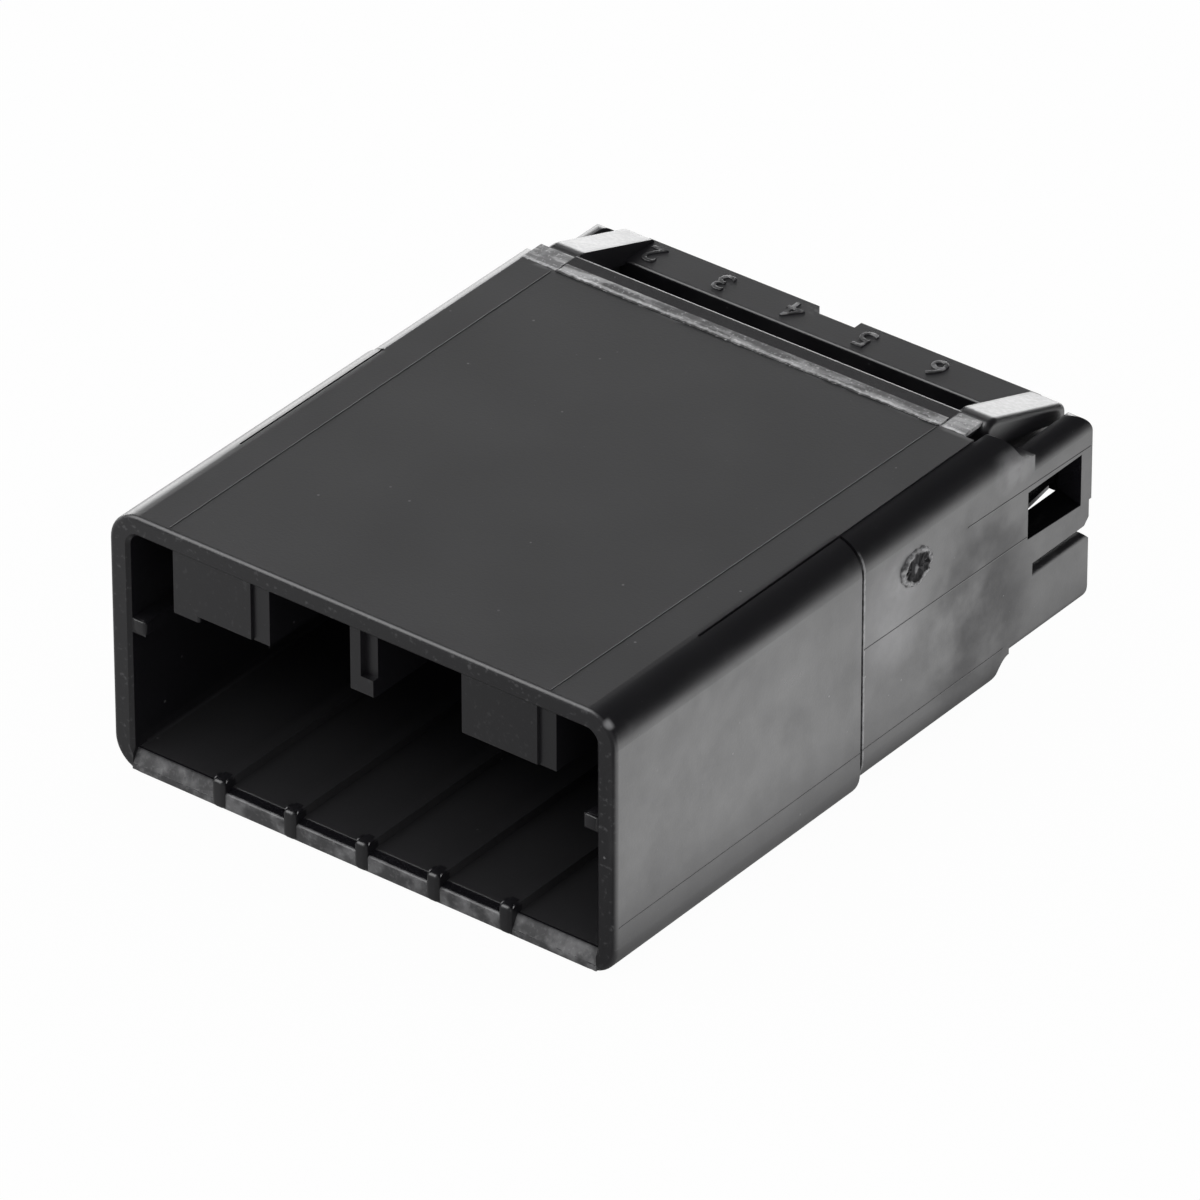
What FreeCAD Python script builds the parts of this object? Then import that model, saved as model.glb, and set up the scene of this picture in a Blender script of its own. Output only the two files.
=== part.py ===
import FreeCAD, Part
import os
import Sketcher
from FreeCAD import Vector

# A moulded connector housing with a hinged rear lock flap, in millimetres.
# X is the width, Y runs from the mating mouth to the wire side, Z is up from the lower face.
# Places along Y are counted from the mouth, and each body is then set back to the middle.

DRIVING_SIZES = {
    # Overall form
    "width": "24.5",
    "height": "11.75",
    "sleeve_depth": "15.3",
    "rear_depth": "9.2",
    "corner_radius": "1.4",
    "mouth_radius": "0.2",
    "side_step": "0.06",
    "bottom_lift": "0.25",
    "foot_radius": "1.65",
    "panel_width": "22.1",
    "seam_gap": "0.2",
    "seam_depth": "0.17",
    "panel_groove_width": "0.1",
    "panel_groove_depth": "0.12",
    "roof_set_back": "0.47",
    # Mating mouth
    "side_wall": "0.95",
    "roof_wall": "0.9",
    "floor_wall": "0.95",
    "mouth_depth": "16.5",
    "inner_radius": "0.5",
    "floor_corner": "0.15",
    "mouth_bevel": "0.15",
    "core_width": "20.0",
    "upper_core_height": "1.9",
    "lower_core_height": "1.0",
    "core_wall": "0.85",
    "lip_drop": "0.35",
    "lip_depth": "0.45",
    "side_lip_drop": "0.55",
    "side_lip_depth": "0.8",
    # Keying blocks and ribs of the mouth
    "key_recess": "0.15",
    "left_key_start": "9.2",
    "left_key_width": "3.8",
    "left_key_height": "2.6",
    "left_foot_width": "1.25",
    "left_foot_height": "0.2",
    "right_key_start": "4.82",
    "right_key_width": "3.6",
    "right_key_height": "2.7",
    "key_strip_width": "0.8",
    "key_strip_step": "0.15",
    "centre_rib_width": "1.1",
    "centre_rib_height": "2.85",
    "centre_notch_width": "0.6",
    "centre_notch_depth": "0.3",
    "centre_foot_height": "0.8",
    "floor_rib_width": "0.6",
    "floor_rib_height": "0.4",
    "floor_rib_count": "5",
    "floor_rib_round": "0.25",
    "nub_width": "0.65",
    "nub_height": "0.65",
    "nub_drop": "4.18",
    "key_round": "0.12",
    # Terminal block
    "column_count": "6",
    "column_pitch": "3.5",
    "row_foot": "0.7",
    "row_wall": "0.6",
    "row_cover": "0.65",
    "wire_cavity_width": "2.6",
    "block_front_wall": "1.2",
    "tab_slot_width": "2.0",
    "tab_slot_height": "0.8",
    "lance_slot_width": "1.5",
    "lance_slot_rise": "0.95",
    "lance_slot_depth": "6.0",
    "block_overhang": "1.4",
    "block_top_drop": "2.85",
    # Rear loops and lower arms
    "loop_length": "4.4",
    "loop_step": "0.15",
    "step_drop": "0.17",
    "loop_wall": "1.1",
    "loop_drop": "1.45",
    "loop_bar_height": "1.55",
    "loop_corner": "0.8",
    "loop_round": "0.75",
    "loop_lead_in": "0.3",
    "slope_overlap": "0.2",
    "slope_length": "2.2",
    "window_gap": "0.2",
    "window_height": "2.15",
    "window_fall": "0.18",
    "post_width": "0.7",
    "sill_height": "1.25",
    "slit_gap": "0.55",
    "slit_height": "0.38",
    "slit_flare": "0.3",
    "lower_arm_lift": "1.65",
    "lower_arm_corner": "0.6",
    "lower_arm_round": "0.4",
    "lower_arm_shoulder": "0.25",
    "tail_step": "0.1",
    "tail_radius": "0.9",
    "tail_inner_radius": "0.6",
    # Rear lock flap
    "hinge_width": "0.54",
    "hinge_drop": "0.25",
    "web_thickness": "0.25",
    "web_half_gap": "0.1",
    "web_side_gap": "0.45",
    "flap_length": "5.83",
    "flap_side_gap": "0.22",
    "bar_depth": "0.93",
    "bar_thickness": "1.0",
    "flap_arm_width": "1.55",
    "arm_set_back": "0.53",
    "arm_level_run": "0.6",
    "arm_slope": "18.6",
    "arm_bend_radius": "0.6",
    "arm_corner": "0.45",
    "arm_end_drop": "2.28",
    "arm_round": "0.25",
    "plate_depth": "1.95",
    "plate_drop": "1.63",
    "plate_thickness": "0.85",
    "lip_thickness": "0.55",
    "lip_height": "0.7",
    "notch_width": "1.75",
    "notch_depth": "0.45",
    "notch_slant": "0.3",
    "leg_inset": "0.45",
    "leg_width": "0.7",
    "leg_front_gap": "0.25",
    "leg_end_gap": "0.25",
    "leg_front_drop": "3.15",
    "leg_toe_depth": "2.4",
    "leg_toe_drop": "5.8",
    "leg_heel_drop": "5.35",
    "wedge_top_gap": "0.1",
    "wedge_side_gap": "0.1",
    "wedge_depth": "1.3",
    "wedge_gap": "0.09",
    "wedge_height": "1.0",
    "edge_round": "0.12",
}

# Places worked out from the driving sizes, as expressions
HALF_WIDTH = "(sizes.width / 2)"
REAR_HALF = f"({HALF_WIDTH} - sizes.side_step)"
MOUTH_HALF = f"({HALF_WIDTH} - sizes.side_wall)"
ROOF_INSIDE = "(sizes.height - sizes.roof_wall)"
TOP_REAR = "(sizes.sleeve_depth + sizes.rear_depth)"
ROOF_REAR = f"({TOP_REAR} - sizes.roof_set_back)"
BLOCK_REAR = f"({TOP_REAR} + sizes.block_overhang)"
LOOP_REAR = f"({BLOCK_REAR} + sizes.loop_length)"
LOOP_INSIDE = f"({REAR_HALF} - sizes.loop_wall)"
LOOP_TOP = "(sizes.height - sizes.loop_drop)"
WINDOW_TOP = f"({LOOP_TOP} - sizes.loop_bar_height)"
WINDOW_BOTTOM = f"({WINDOW_TOP} - sizes.window_height)"
SLIT_TOP = f"({WINDOW_BOTTOM} - sizes.sill_height)"
LOWER_ARM_TOP = f"({SLIT_TOP} - sizes.slit_height)"
LOWER_ARM_BOTTOM = "(sizes.bottom_lift + sizes.lower_arm_lift)"
LOWER_REAR = f"({LOOP_REAR} - sizes.loop_step)"
BLOCK_TOP = "(sizes.height - sizes.block_top_drop)"
ROW_BOTTOM = "(sizes.floor_wall + sizes.lower_core_height + sizes.row_foot)"
CAVITY_HEIGHT = f"(({BLOCK_TOP} - sizes.row_cover - sizes.row_wall - {ROW_BOTTOM}) / 2)"
FLAP_FRONT = f"({ROOF_REAR} + sizes.hinge_width)"
ARM_FRONT = f"({FLAP_FRONT} + sizes.arm_set_back)"
FLAP_REAR = f"({FLAP_FRONT} + sizes.flap_length)"
FLAP_HALF = f"({LOOP_INSIDE} - sizes.flap_side_gap)"
ARM_INSIDE = f"({FLAP_HALF} - sizes.flap_arm_width)"
HINGE_Y = f"({ROOF_REAR} + sizes.hinge_width / 2)"
HINGE_Z = "(sizes.height - sizes.hinge_drop)"
ARM_FRONT_BOTTOM = "(sizes.height - sizes.bar_thickness)"
ARM_END_BOTTOM = "(sizes.height - sizes.arm_end_drop)"
OVERALL_DEPTH = f"max({FLAP_REAR}; {LOOP_REAR})"

# Overlap that joins a feature to the wall behind it, and reach past a face that is cut
ROOT = 0.3
PAST = 1.0


def make_sheet(doc):
    """Spreadsheet with the driving sizes, one alias for each."""
    sheet = doc.addObject("Spreadsheet::Sheet", "sizes")
    for row, (alias, number) in enumerate(DRIVING_SIZES.items(), start=1):
        sheet.set(f"A{row}", alias)
        sheet.set(f"B{row}", number)
        sheet.setAlias(f"B{row}", alias)
    doc.recompute()


def make_body(doc, label):
    """Empty body, set back so that the middle of the whole depth lies at Y 0."""
    body = doc.addObject("PartDesign::Body", label)
    body.Label = label
    body.setExpression("Placement.Base.y", f"-{OVERALL_DEPTH} / 2")
    return body


def origin_plane(body, role):
    """Plane of the body's own origin with the given role."""
    return next(item for item in body.Origin.OriginFeatures if item.Role == role)


def new_sketch(body, name, role, level="0"):
    """Sketch on an origin plane of the body, moved to a level along X, Y or Z."""
    sketch = body.newObject("Sketcher::SketchObject", name)
    sketch.AttachmentSupport = [(origin_plane(body, role), "")]
    sketch.MapMode = "FlatFace"
    turn = "-1 * " if role == "XZ_Plane" else ""
    sketch.setExpression("AttachmentOffset.Base.z", f"{turn}({level})")
    return sketch


def add_driven(sketch, kind, geometry, spot, expression):
    """Distance from the sketch origin to a point, driven by an expression."""
    number = sketch.evalExpression(expression)
    index = sketch.addConstraint(Sketcher.Constraint(kind, -1, 1, geometry, spot, number))
    sketch.setExpression(f"Constraints[{index}]", expression)


def draw(sketch, corners):
    """Closed outline. A corner is (x, y), or (x, y, centre_x, centre_y, turn) where an arc starts."""
    spots = [Vector(sketch.evalExpression(c[0]), sketch.evalExpression(c[1]), 0) for c in corners]
    ends = []
    for index, corner in enumerate(corners):
        start, end = spots[index], spots[(index + 1) % len(spots)]
        if len(corner) == 2:
            geometry = sketch.addGeometry(Part.LineSegment(start, end), False)
            ends.append((geometry, 1, 2))
            continue
        centre = Vector(sketch.evalExpression(corner[2]), sketch.evalExpression(corner[3]), 0)
        circle = Part.Circle(centre, Vector(0, 0, 1), (start - centre).Length)
        first, last = (start, end) if corner[4] == "left" else (end, start)
        arc = Part.ArcOfCircle(circle, circle.parameter(first), circle.parameter(last))
        geometry = sketch.addGeometry(arc, False)
        ends.append((geometry, 1, 2) if corner[4] == "left" else (geometry, 2, 1))
        add_driven(sketch, "DistanceX", geometry, 3, corner[2])
    for index, corner in enumerate(corners):
        geometry, start, end = ends[index]
        following, next_start, _ = ends[(index + 1) % len(ends)]
        sketch.addConstraint(Sketcher.Constraint("Coincident", geometry, end, following, next_start))
        add_driven(sketch, "DistanceX", geometry, start, corner[0])
        add_driven(sketch, "DistanceY", geometry, start, corner[1])


def rectangle(left, right, bottom, top):
    """Corners of a rectangle."""
    return [(left, bottom), (right, bottom), (right, top), (left, top)]


def rounded_rectangle(left, right, bottom, top, lower, upper):
    """Corners of a rectangle with one radius at its foot and one at its head."""
    return [
        (f"{left} + {lower}", bottom),
        (f"{right} - {lower}", bottom, f"{right} - {lower}", f"{bottom} + {lower}", "left"),
        (right, f"{bottom} + {lower}"),
        (right, f"{top} - {upper}", f"{right} - {upper}", f"{top} - {upper}", "left"),
        (f"{right} - {upper}", top),
        (f"{left} + {upper}", top, f"{left} + {upper}", f"{top} - {upper}", "left"),
        (left, f"{top} - {upper}"),
        (left, f"{bottom} + {lower}", f"{left} + {lower}", f"{bottom} + {lower}", "left"),
    ]


def add_pad(body, sketch, length, reverse=False, middle=False):
    """Material along the sketch normal, or against it."""
    pad = body.newObject("PartDesign::Pad", f"{sketch.Name}_pad")
    pad.Profile = sketch
    pad.setExpression("Length", length)
    pad.Reversed = reverse
    pad.Midplane = middle
    body.Document.recompute()
    return pad


def add_pocket(body, sketch, length, reverse=False, middle=False):
    """Cut against the sketch normal, or along it. A cut that removes nothing is an error."""
    before = body.Shape.Volume
    pocket = body.newObject("PartDesign::Pocket", f"{sketch.Name}_pocket")
    pocket.Profile = sketch
    pocket.setExpression("Length", length)
    pocket.Reversed = reverse
    pocket.Midplane = middle
    body.Document.recompute()
    if body.Shape.Volume >= before:
        raise RuntimeError(f"{pocket.Name} cuts nothing")
    return pocket


def add_mirror(body, features, name):
    """The same features on the other side of the middle plane."""
    mirror = body.newObject("PartDesign::Mirrored", name)
    mirror.Originals = features
    mirror.MirrorPlane = (origin_plane(body, "YZ_Plane"), [""])
    body.Tip = mirror
    body.Document.recompute()
    return mirror


def add_row(body, features, name, count, pitch):
    """Copies of the features along X."""
    row = body.newObject("PartDesign::LinearPattern", name)
    row.Originals = features
    row.Direction = (origin_plane(body, "X_Axis"), [""])
    row.setExpression("Length", f"({count} - 1) * {pitch}")
    row.setExpression("Occurrences", count)
    body.Tip = row
    body.Document.recompute()
    return row


def add_edge_feature(body, kind, name, size, wanted):
    """Fillet or chamfer on the edges whose ends and middle pass a test."""
    base = body.Tip
    edges = []
    for number, edge in enumerate(base.Shape.Edges, start=1):
        middle = edge.valueAt((edge.FirstParameter + edge.LastParameter) / 2)
        if wanted(edge, middle):
            edges.append(f"Edge{number}")
    if not edges:
        raise RuntimeError(f"{name} finds no edge")
    feature = body.newObject(f"PartDesign::{kind}", name)
    feature.Base = (base, edges)
    feature.setExpression("Radius" if kind == "Fillet" else "Size", size)
    body.Document.recompute()
    return feature


def close(first, second, gap=0.01):
    """True where two lengths are the same."""
    return abs(first - second) < gap


def build_shell(body):
    """Front sleeve and the rear part behind the seam, with its flush roof panel."""
    sketch = new_sketch(body, "sleeve", "XZ_Plane")
    draw(sketch, rounded_rectangle(f"-{HALF_WIDTH}", HALF_WIDTH, "0", "sizes.height",
                                   "sizes.corner_radius", "sizes.corner_radius"))
    add_pad(body, sketch, "sizes.sleeve_depth", reverse=True)
    add_edge_feature(body, "Fillet", "mouth_fillet", "sizes.mouth_radius",
                     lambda edge, middle: close(middle.y, 0) and edge.BoundBox.YLength < 0.01)
    # A neck behind the sleeve leaves the fine seam groove between the sleeve and the rear shell
    inset = "(sizes.side_step + sizes.seam_depth)"
    sketch = new_sketch(body, "neck", "XZ_Plane", f"sizes.sleeve_depth - {ROOT}")
    draw(sketch, rounded_rectangle(f"-({HALF_WIDTH} - {inset})", f"({HALF_WIDTH} - {inset})",
                                   "(sizes.bottom_lift + sizes.seam_depth)",
                                   f"(sizes.height - {inset})", "(sizes.foot_radius - sizes.seam_depth)",
                                   f"(sizes.corner_radius - {inset})"))
    add_pad(body, sketch, f"sizes.seam_gap + 2 * {ROOT}", reverse=True)
    # The rear shell keeps the sleeve's upper corner centres, so its side step is even all round
    shell_front = "(sizes.sleeve_depth + sizes.seam_gap)"
    sketch = new_sketch(body, "rear_shell", "XZ_Plane", shell_front)
    draw(sketch, rounded_rectangle(f"-{REAR_HALF}", REAR_HALF, "sizes.bottom_lift",
                                   "(sizes.height - sizes.side_step)", "sizes.foot_radius",
                                   "(sizes.corner_radius - sizes.side_step)"))
    add_pad(body, sketch, f"{LOOP_REAR} - {shell_front}", reverse=True)
    sketch = new_sketch(body, "roof_panel", "XZ_Plane", "sizes.sleeve_depth")
    draw(sketch, rectangle("-sizes.panel_width / 2", "sizes.panel_width / 2",
                           f"sizes.height - {2 * ROOT}", "sizes.height"))
    add_pad(body, sketch, "sizes.rear_depth", reverse=True)
    # Fine groove along each side of the panel
    sketch = new_sketch(body, "panel_groove", "XZ_Plane", "sizes.sleeve_depth")
    draw(sketch, rectangle("sizes.panel_width / 2", "sizes.panel_width / 2 + sizes.panel_groove_width",
                           "sizes.height - sizes.side_step - sizes.panel_groove_depth",
                           f"sizes.height + {ROOT}"))
    groove = add_pocket(body, sketch, f"{ROOF_REAR} - sizes.sleeve_depth", reverse=True)
    add_mirror(body, [groove], "left_panel_groove")


def slope_outline():
    """Side view of what goes above the loop: two equal arcs down from the roof, then a round corner."""
    start = f"({TOP_REAR} - sizes.slope_overlap)"
    end = f"({start} + sizes.slope_length)"
    # The radius of two equal arcs that are level at both ends follows from the run and the fall
    fall = "sizes.loop_drop"
    radius = f"((sizes.slope_length ^ 2 + {fall} ^ 2) / (4 * {fall}))"
    corner = "sizes.loop_corner"
    return [
        (start, "sizes.height", start, f"sizes.height - {radius}", "right"),
        (f"({start} + {end}) / 2", f"sizes.height - {fall} / 2", end, f"{LOOP_TOP} + {radius}", "left"),
        (end, LOOP_TOP),
        (f"{LOOP_REAR} - {corner}", LOOP_TOP, f"{LOOP_REAR} - {corner}", f"{LOOP_TOP} - {corner}", "right"),
        (LOOP_REAR, f"{LOOP_TOP} - {corner}"),
        (f"{LOOP_REAR} + {PAST}", f"{LOOP_TOP} - {corner}"),
        (f"{LOOP_REAR} + {PAST}", f"sizes.height + {PAST}"),
        (start, f"sizes.height + {PAST}"),
    ]


def build_rear_walls(body):
    """Rear bay between the side walls, the soft slope above them, their windows and slits."""
    sketch = new_sketch(body, "rear_bay", "XY_Plane", f"sizes.height + {PAST}")
    draw(sketch, rectangle(f"-{LOOP_INSIDE}", LOOP_INSIDE, BLOCK_REAR, f"{LOOP_REAR} + {PAST}"))
    add_pocket(body, sketch, f"sizes.height + 2 * {PAST}")
    sketch = new_sketch(body, "slope", "YZ_Plane", f"{HALF_WIDTH} + {PAST}")
    draw(sketch, slope_outline())
    slope = add_pocket(body, sketch, f"{HALF_WIDTH} + {PAST} - {LOOP_INSIDE}")
    add_mirror(body, [slope], "left_slope")
    sketch = new_sketch(body, "window", "YZ_Plane")
    window_front, window_rear = f"{BLOCK_REAR} + sizes.window_gap", f"{LOOP_REAR} - sizes.post_width"
    draw(sketch, [
        (window_front, WINDOW_BOTTOM),
        (window_rear, f"{WINDOW_BOTTOM} - sizes.window_fall"),
        (window_rear, WINDOW_TOP),
        (window_front, WINDOW_TOP),
    ])
    add_pocket(body, sketch, f"sizes.width + {PAST}", middle=True)
    sketch = new_sketch(body, "slit", "YZ_Plane")
    flare = "sizes.slit_flare"
    draw(sketch, [
        (f"{BLOCK_REAR} + sizes.slit_gap", LOWER_ARM_TOP),
        (f"{LOWER_REAR} - {flare}", LOWER_ARM_TOP),
        (f"{LOWER_REAR} + {ROOT}", f"{LOWER_ARM_TOP} - {flare} - {ROOT}"),
        (f"{LOWER_REAR} + {ROOT}", f"{SLIT_TOP} + {flare} + {ROOT}"),
        (f"{LOWER_REAR} - {flare}", SLIT_TOP),
        (f"{BLOCK_REAR} + sizes.slit_gap", SLIT_TOP),
    ])
    add_pocket(body, sketch, f"sizes.width + {PAST}", middle=True)


def build_flap_bay(body):
    """Open bay behind the roof's rear edge, where the flap lies, and the fixed half of its web."""
    sketch = new_sketch(body, "flap_bay", "XZ_Plane", f"{LOOP_REAR} + {PAST}")
    draw(sketch, rectangle(f"-{LOOP_INSIDE}", LOOP_INSIDE, BLOCK_TOP, f"sizes.height + {PAST}"))
    add_pocket(body, sketch, f"{LOOP_REAR} + {PAST} - {ROOF_REAR}", reverse=True)
    web_half = f"({FLAP_HALF} - sizes.web_side_gap)"
    sketch = new_sketch(body, "fixed_web", "XZ_Plane", f"{ROOF_REAR} - {ROOT}")
    draw(sketch, rectangle(f"-{web_half}", web_half, f"{HINGE_Z} - sizes.web_thickness / 2",
                           f"{HINGE_Z} + sizes.web_thickness / 2"))
    add_pad(body, sketch, f"sizes.hinge_width / 2 - sizes.web_half_gap + {ROOT}", reverse=True)


def build_tail(body):
    """Underside of the rear: rounded end of the body, the lower arms and the step in the loop's rear."""
    end = f"({TOP_REAR} - sizes.tail_step)"
    round_, hollow = "sizes.tail_radius", "sizes.tail_inner_radius"
    corner, below = "sizes.lower_arm_corner", f"0 - {PAST}"
    sketch = new_sketch(body, "tail", "YZ_Plane")
    draw(sketch, [
        (f"{end} - {round_}", below),
        (f"{LOOP_REAR} + {PAST}", below),
        (f"{LOOP_REAR} + {PAST}", f"{WINDOW_BOTTOM} - sizes.step_drop"),
        (LOWER_REAR, f"{WINDOW_BOTTOM} - sizes.step_drop"),
        (LOWER_REAR, f"{LOWER_ARM_BOTTOM} + {corner}",
         f"{LOWER_REAR} - {corner}", f"{LOWER_ARM_BOTTOM} + {corner}", "right"),
        (f"{LOWER_REAR} - {corner}", LOWER_ARM_BOTTOM),
        (f"{end} + {hollow}", LOWER_ARM_BOTTOM,
         f"{end} + {hollow}", f"{LOWER_ARM_BOTTOM} - {hollow}", "left"),
        (end, f"{LOWER_ARM_BOTTOM} - {hollow}"),
        (end, f"sizes.bottom_lift + {round_}",
         f"{end} - {round_}", f"sizes.bottom_lift + {round_}", "right"),
        (f"{end} - {round_}", "sizes.bottom_lift"),
    ])
    add_pocket(body, sketch, f"sizes.width + {PAST}", middle=True)


def build_mouth(body):
    """Mating mouth with its lead-in lip."""
    sketch = new_sketch(body, "mouth", "XZ_Plane")
    draw(sketch, rounded_rectangle(f"-{MOUTH_HALF}", MOUTH_HALF, "sizes.floor_wall", ROOF_INSIDE,
                                   "sizes.floor_corner", "sizes.inner_radius"))
    add_pocket(body, sketch, "sizes.mouth_depth")
    inside = body.evalExpression(MOUTH_HALF) + 0.01
    add_edge_feature(body, "Chamfer", "mouth_bevel", "sizes.mouth_bevel", lambda edge, middle: (
        close(middle.y, 0) and edge.BoundBox.YLength < 0.01 and abs(middle.x) < inside
        and 0.9 < middle.z < body.evalExpression(ROOF_INSIDE) + 0.01))
    # The floor falls away to the mouth, a little further beside the outer ribs than between the ribs
    outer_rib = "((sizes.floor_rib_count - 1) * sizes.column_pitch / 2)"
    lips = {"mouth_lip": ("sizes.lip_drop", "sizes.lip_depth", MOUTH_HALF, f"2 * {MOUTH_HALF}"),
            "side_lip": ("sizes.side_lip_drop", "sizes.side_lip_depth", MOUTH_HALF,
                         f"{MOUTH_HALF} - {outer_rib}")}
    for name, (drop, depth, level, width) in lips.items():
        sketch = new_sketch(body, name, "YZ_Plane", level)
        draw(sketch, [
            (f"0 - {PAST}", f"sizes.floor_wall - {drop}"),
            ("0", f"sizes.floor_wall - {drop}"),
            (depth, "sizes.floor_wall"),
            (depth, f"sizes.floor_wall + {ROOT}"),
            (f"0 - {PAST}", f"sizes.floor_wall + {ROOT}"),
        ])
        lip = add_pocket(body, sketch, width)
    add_mirror(body, [lip], "left_side_lip")


def hang_from_roof(body, name, front, left, right, drop):
    """Block under the roof, from a front level to the back of the mouth."""
    sketch = new_sketch(body, name, "XZ_Plane", front)
    draw(sketch, rectangle(left, right, f"{ROOF_INSIDE} - ({drop})", f"{ROOF_INSIDE} + {ROOT}"))
    return add_pad(body, sketch, f"sizes.mouth_depth + {ROOT} - ({front})", reverse=True)


def build_keys(body):
    """Two keying blocks and the centre rib, all hanging from the roof."""
    recess = "sizes.key_recess"
    strip_front = f"{recess} + sizes.key_strip_step"
    left, right = "(0 - sizes.left_key_start)", "sizes.right_key_start"
    left_end, right_end = f"({left} + sizes.left_key_width)", f"({right} + sizes.right_key_width)"
    hang_from_roof(body, "left_key", recess, left, left_end, "sizes.left_key_height")
    hang_from_roof(body, "left_key_foot", recess, left, f"{left} + sizes.left_foot_width",
                   "sizes.left_key_height + sizes.left_foot_height")
    hang_from_roof(body, "left_key_strip", strip_front, left_end,
                   f"{left_end} + sizes.key_strip_width", "sizes.left_key_height")
    hang_from_roof(body, "right_key", recess, right, right_end, "sizes.right_key_height")
    hang_from_roof(body, "right_key_strip", strip_front, right_end,
                   f"{right_end} + sizes.key_strip_width", "sizes.right_key_height")
    half = "(sizes.centre_rib_width / 2)"
    hang_from_roof(body, "centre_rib", recess, f"-{half}", half, "sizes.centre_rib_height")
    sketch = new_sketch(body, "centre_notch", "XZ_Plane", "0")
    draw(sketch, rectangle(f"{half} - sizes.centre_notch_width", f"{half} + {ROOT}",
                           f"{ROOF_INSIDE} - sizes.centre_rib_height + sizes.centre_foot_height",
                           ROOF_INSIDE))
    add_pocket(body, sketch, f"{recess} + sizes.centre_notch_depth")
    # Soft lower front edges of both keys and of the centre rib
    front, roof = body.evalExpression(recess), body.evalExpression(ROOF_INSIDE)
    lows = [roof - body.evalExpression(f"sizes.{name}_height")
            for name in ("left_key", "right_key", "centre_rib")]
    add_edge_feature(body, "Fillet", "key_round", "sizes.key_round", lambda edge, middle: (
        close(middle.y, front) and any(close(middle.z, low) for low in lows)))


def build_cores(body):
    """Hollows above and below the wire cavities, open to the mouth, that keep the walls even."""
    half = "(sizes.core_width / 2)"
    levels = {
        "upper_core": (f"{ROOF_INSIDE} - sizes.upper_core_height", ROOF_INSIDE),
        "lower_core": ("sizes.floor_wall", "sizes.floor_wall + sizes.lower_core_height"),
    }
    for name, (bottom, top) in levels.items():
        sketch = new_sketch(body, name, "XZ_Plane", "sizes.mouth_depth")
        draw(sketch, rectangle(f"-{half}", half, bottom, top))
        add_pocket(body, sketch, f"{ROOF_REAR} - sizes.core_wall - sizes.mouth_depth")


def build_floor_ribs(body):
    """Ribs on the floor, flush with the mouth, and a nub along each side wall."""
    first = "(0 - (sizes.floor_rib_count - 1) * sizes.column_pitch / 2)"
    top, head = "(sizes.floor_wall + sizes.floor_rib_height)", "sizes.floor_rib_round"
    sketch = new_sketch(body, "floor_rib", "YZ_Plane", f"{first} - sizes.floor_rib_width / 2")
    draw(sketch, [
        ("0", "sizes.mouth_radius"),
        (f"sizes.mouth_depth + {ROOT}", "sizes.mouth_radius"),
        (f"sizes.mouth_depth + {ROOT}", top),
        (head, top, head, f"{top} - {head}", "left"),
        ("0", f"{top} - {head}"),
    ])
    rib = add_pad(body, sketch, "sizes.floor_rib_width")
    add_row(body, [rib], "floor_ribs", "sizes.floor_rib_count", "sizes.column_pitch")
    sketch = new_sketch(body, "nub", "XZ_Plane", "sizes.key_recess")
    draw(sketch, rectangle(f"{MOUTH_HALF} - sizes.nub_width", f"{MOUTH_HALF} + {ROOT}",
                           f"{ROOF_INSIDE} - sizes.nub_drop - sizes.nub_height / 2",
                           f"{ROOF_INSIDE} - sizes.nub_drop + sizes.nub_height / 2"))
    nub = add_pad(body, sketch, f"sizes.mouth_depth + {ROOT} - sizes.key_recess", reverse=True)
    add_mirror(body, [nub], "left_nub")


def build_wire_cavities(body):
    """Two rows of wire cavities with their tab slots, and the lance slots over the upper row."""
    column = "(0 - (sizes.column_count - 1) * sizes.column_pitch / 2)"
    first = f"({ROW_BOTTOM} + {CAVITY_HEIGHT} / 2)"
    rows = [first, f"({first} + {CAVITY_HEIGHT} + sizes.row_wall)"]
    sketch = new_sketch(body, "wire_cavity", "XZ_Plane", BLOCK_REAR)
    for level in rows:
        draw(sketch, rectangle(f"{column} - sizes.wire_cavity_width / 2",
                               f"{column} + sizes.wire_cavity_width / 2",
                               f"{level} - {CAVITY_HEIGHT} / 2", f"{level} + {CAVITY_HEIGHT} / 2"))
    depth = f"{BLOCK_REAR} - sizes.mouth_depth"
    cavity = add_pocket(body, sketch, f"{depth} - sizes.block_front_wall", reverse=True)
    sketch = new_sketch(body, "tab_slot", "XZ_Plane", BLOCK_REAR)
    for level in rows:
        draw(sketch, rectangle(f"{column} - sizes.tab_slot_width / 2",
                               f"{column} + sizes.tab_slot_width / 2",
                               f"{level} - sizes.tab_slot_height / 2",
                               f"{level} + sizes.tab_slot_height / 2"))
    slot = add_pocket(body, sketch, f"{depth} + {ROOT}", reverse=True)
    top = f"({BLOCK_TOP} - sizes.row_cover)"
    sketch = new_sketch(body, "lance_slot", "XZ_Plane", BLOCK_REAR)
    draw(sketch, rectangle(f"{column} - sizes.lance_slot_width / 2",
                           f"{column} + sizes.lance_slot_width / 2",
                           f"{top} - {ROOT}", f"{BLOCK_TOP} + sizes.lance_slot_rise"))
    lance = add_pocket(body, sketch, "sizes.lance_slot_depth", reverse=True)
    add_row(body, [cavity, slot, lance], "wire_cavities", "sizes.column_count", "sizes.column_pitch")


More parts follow.
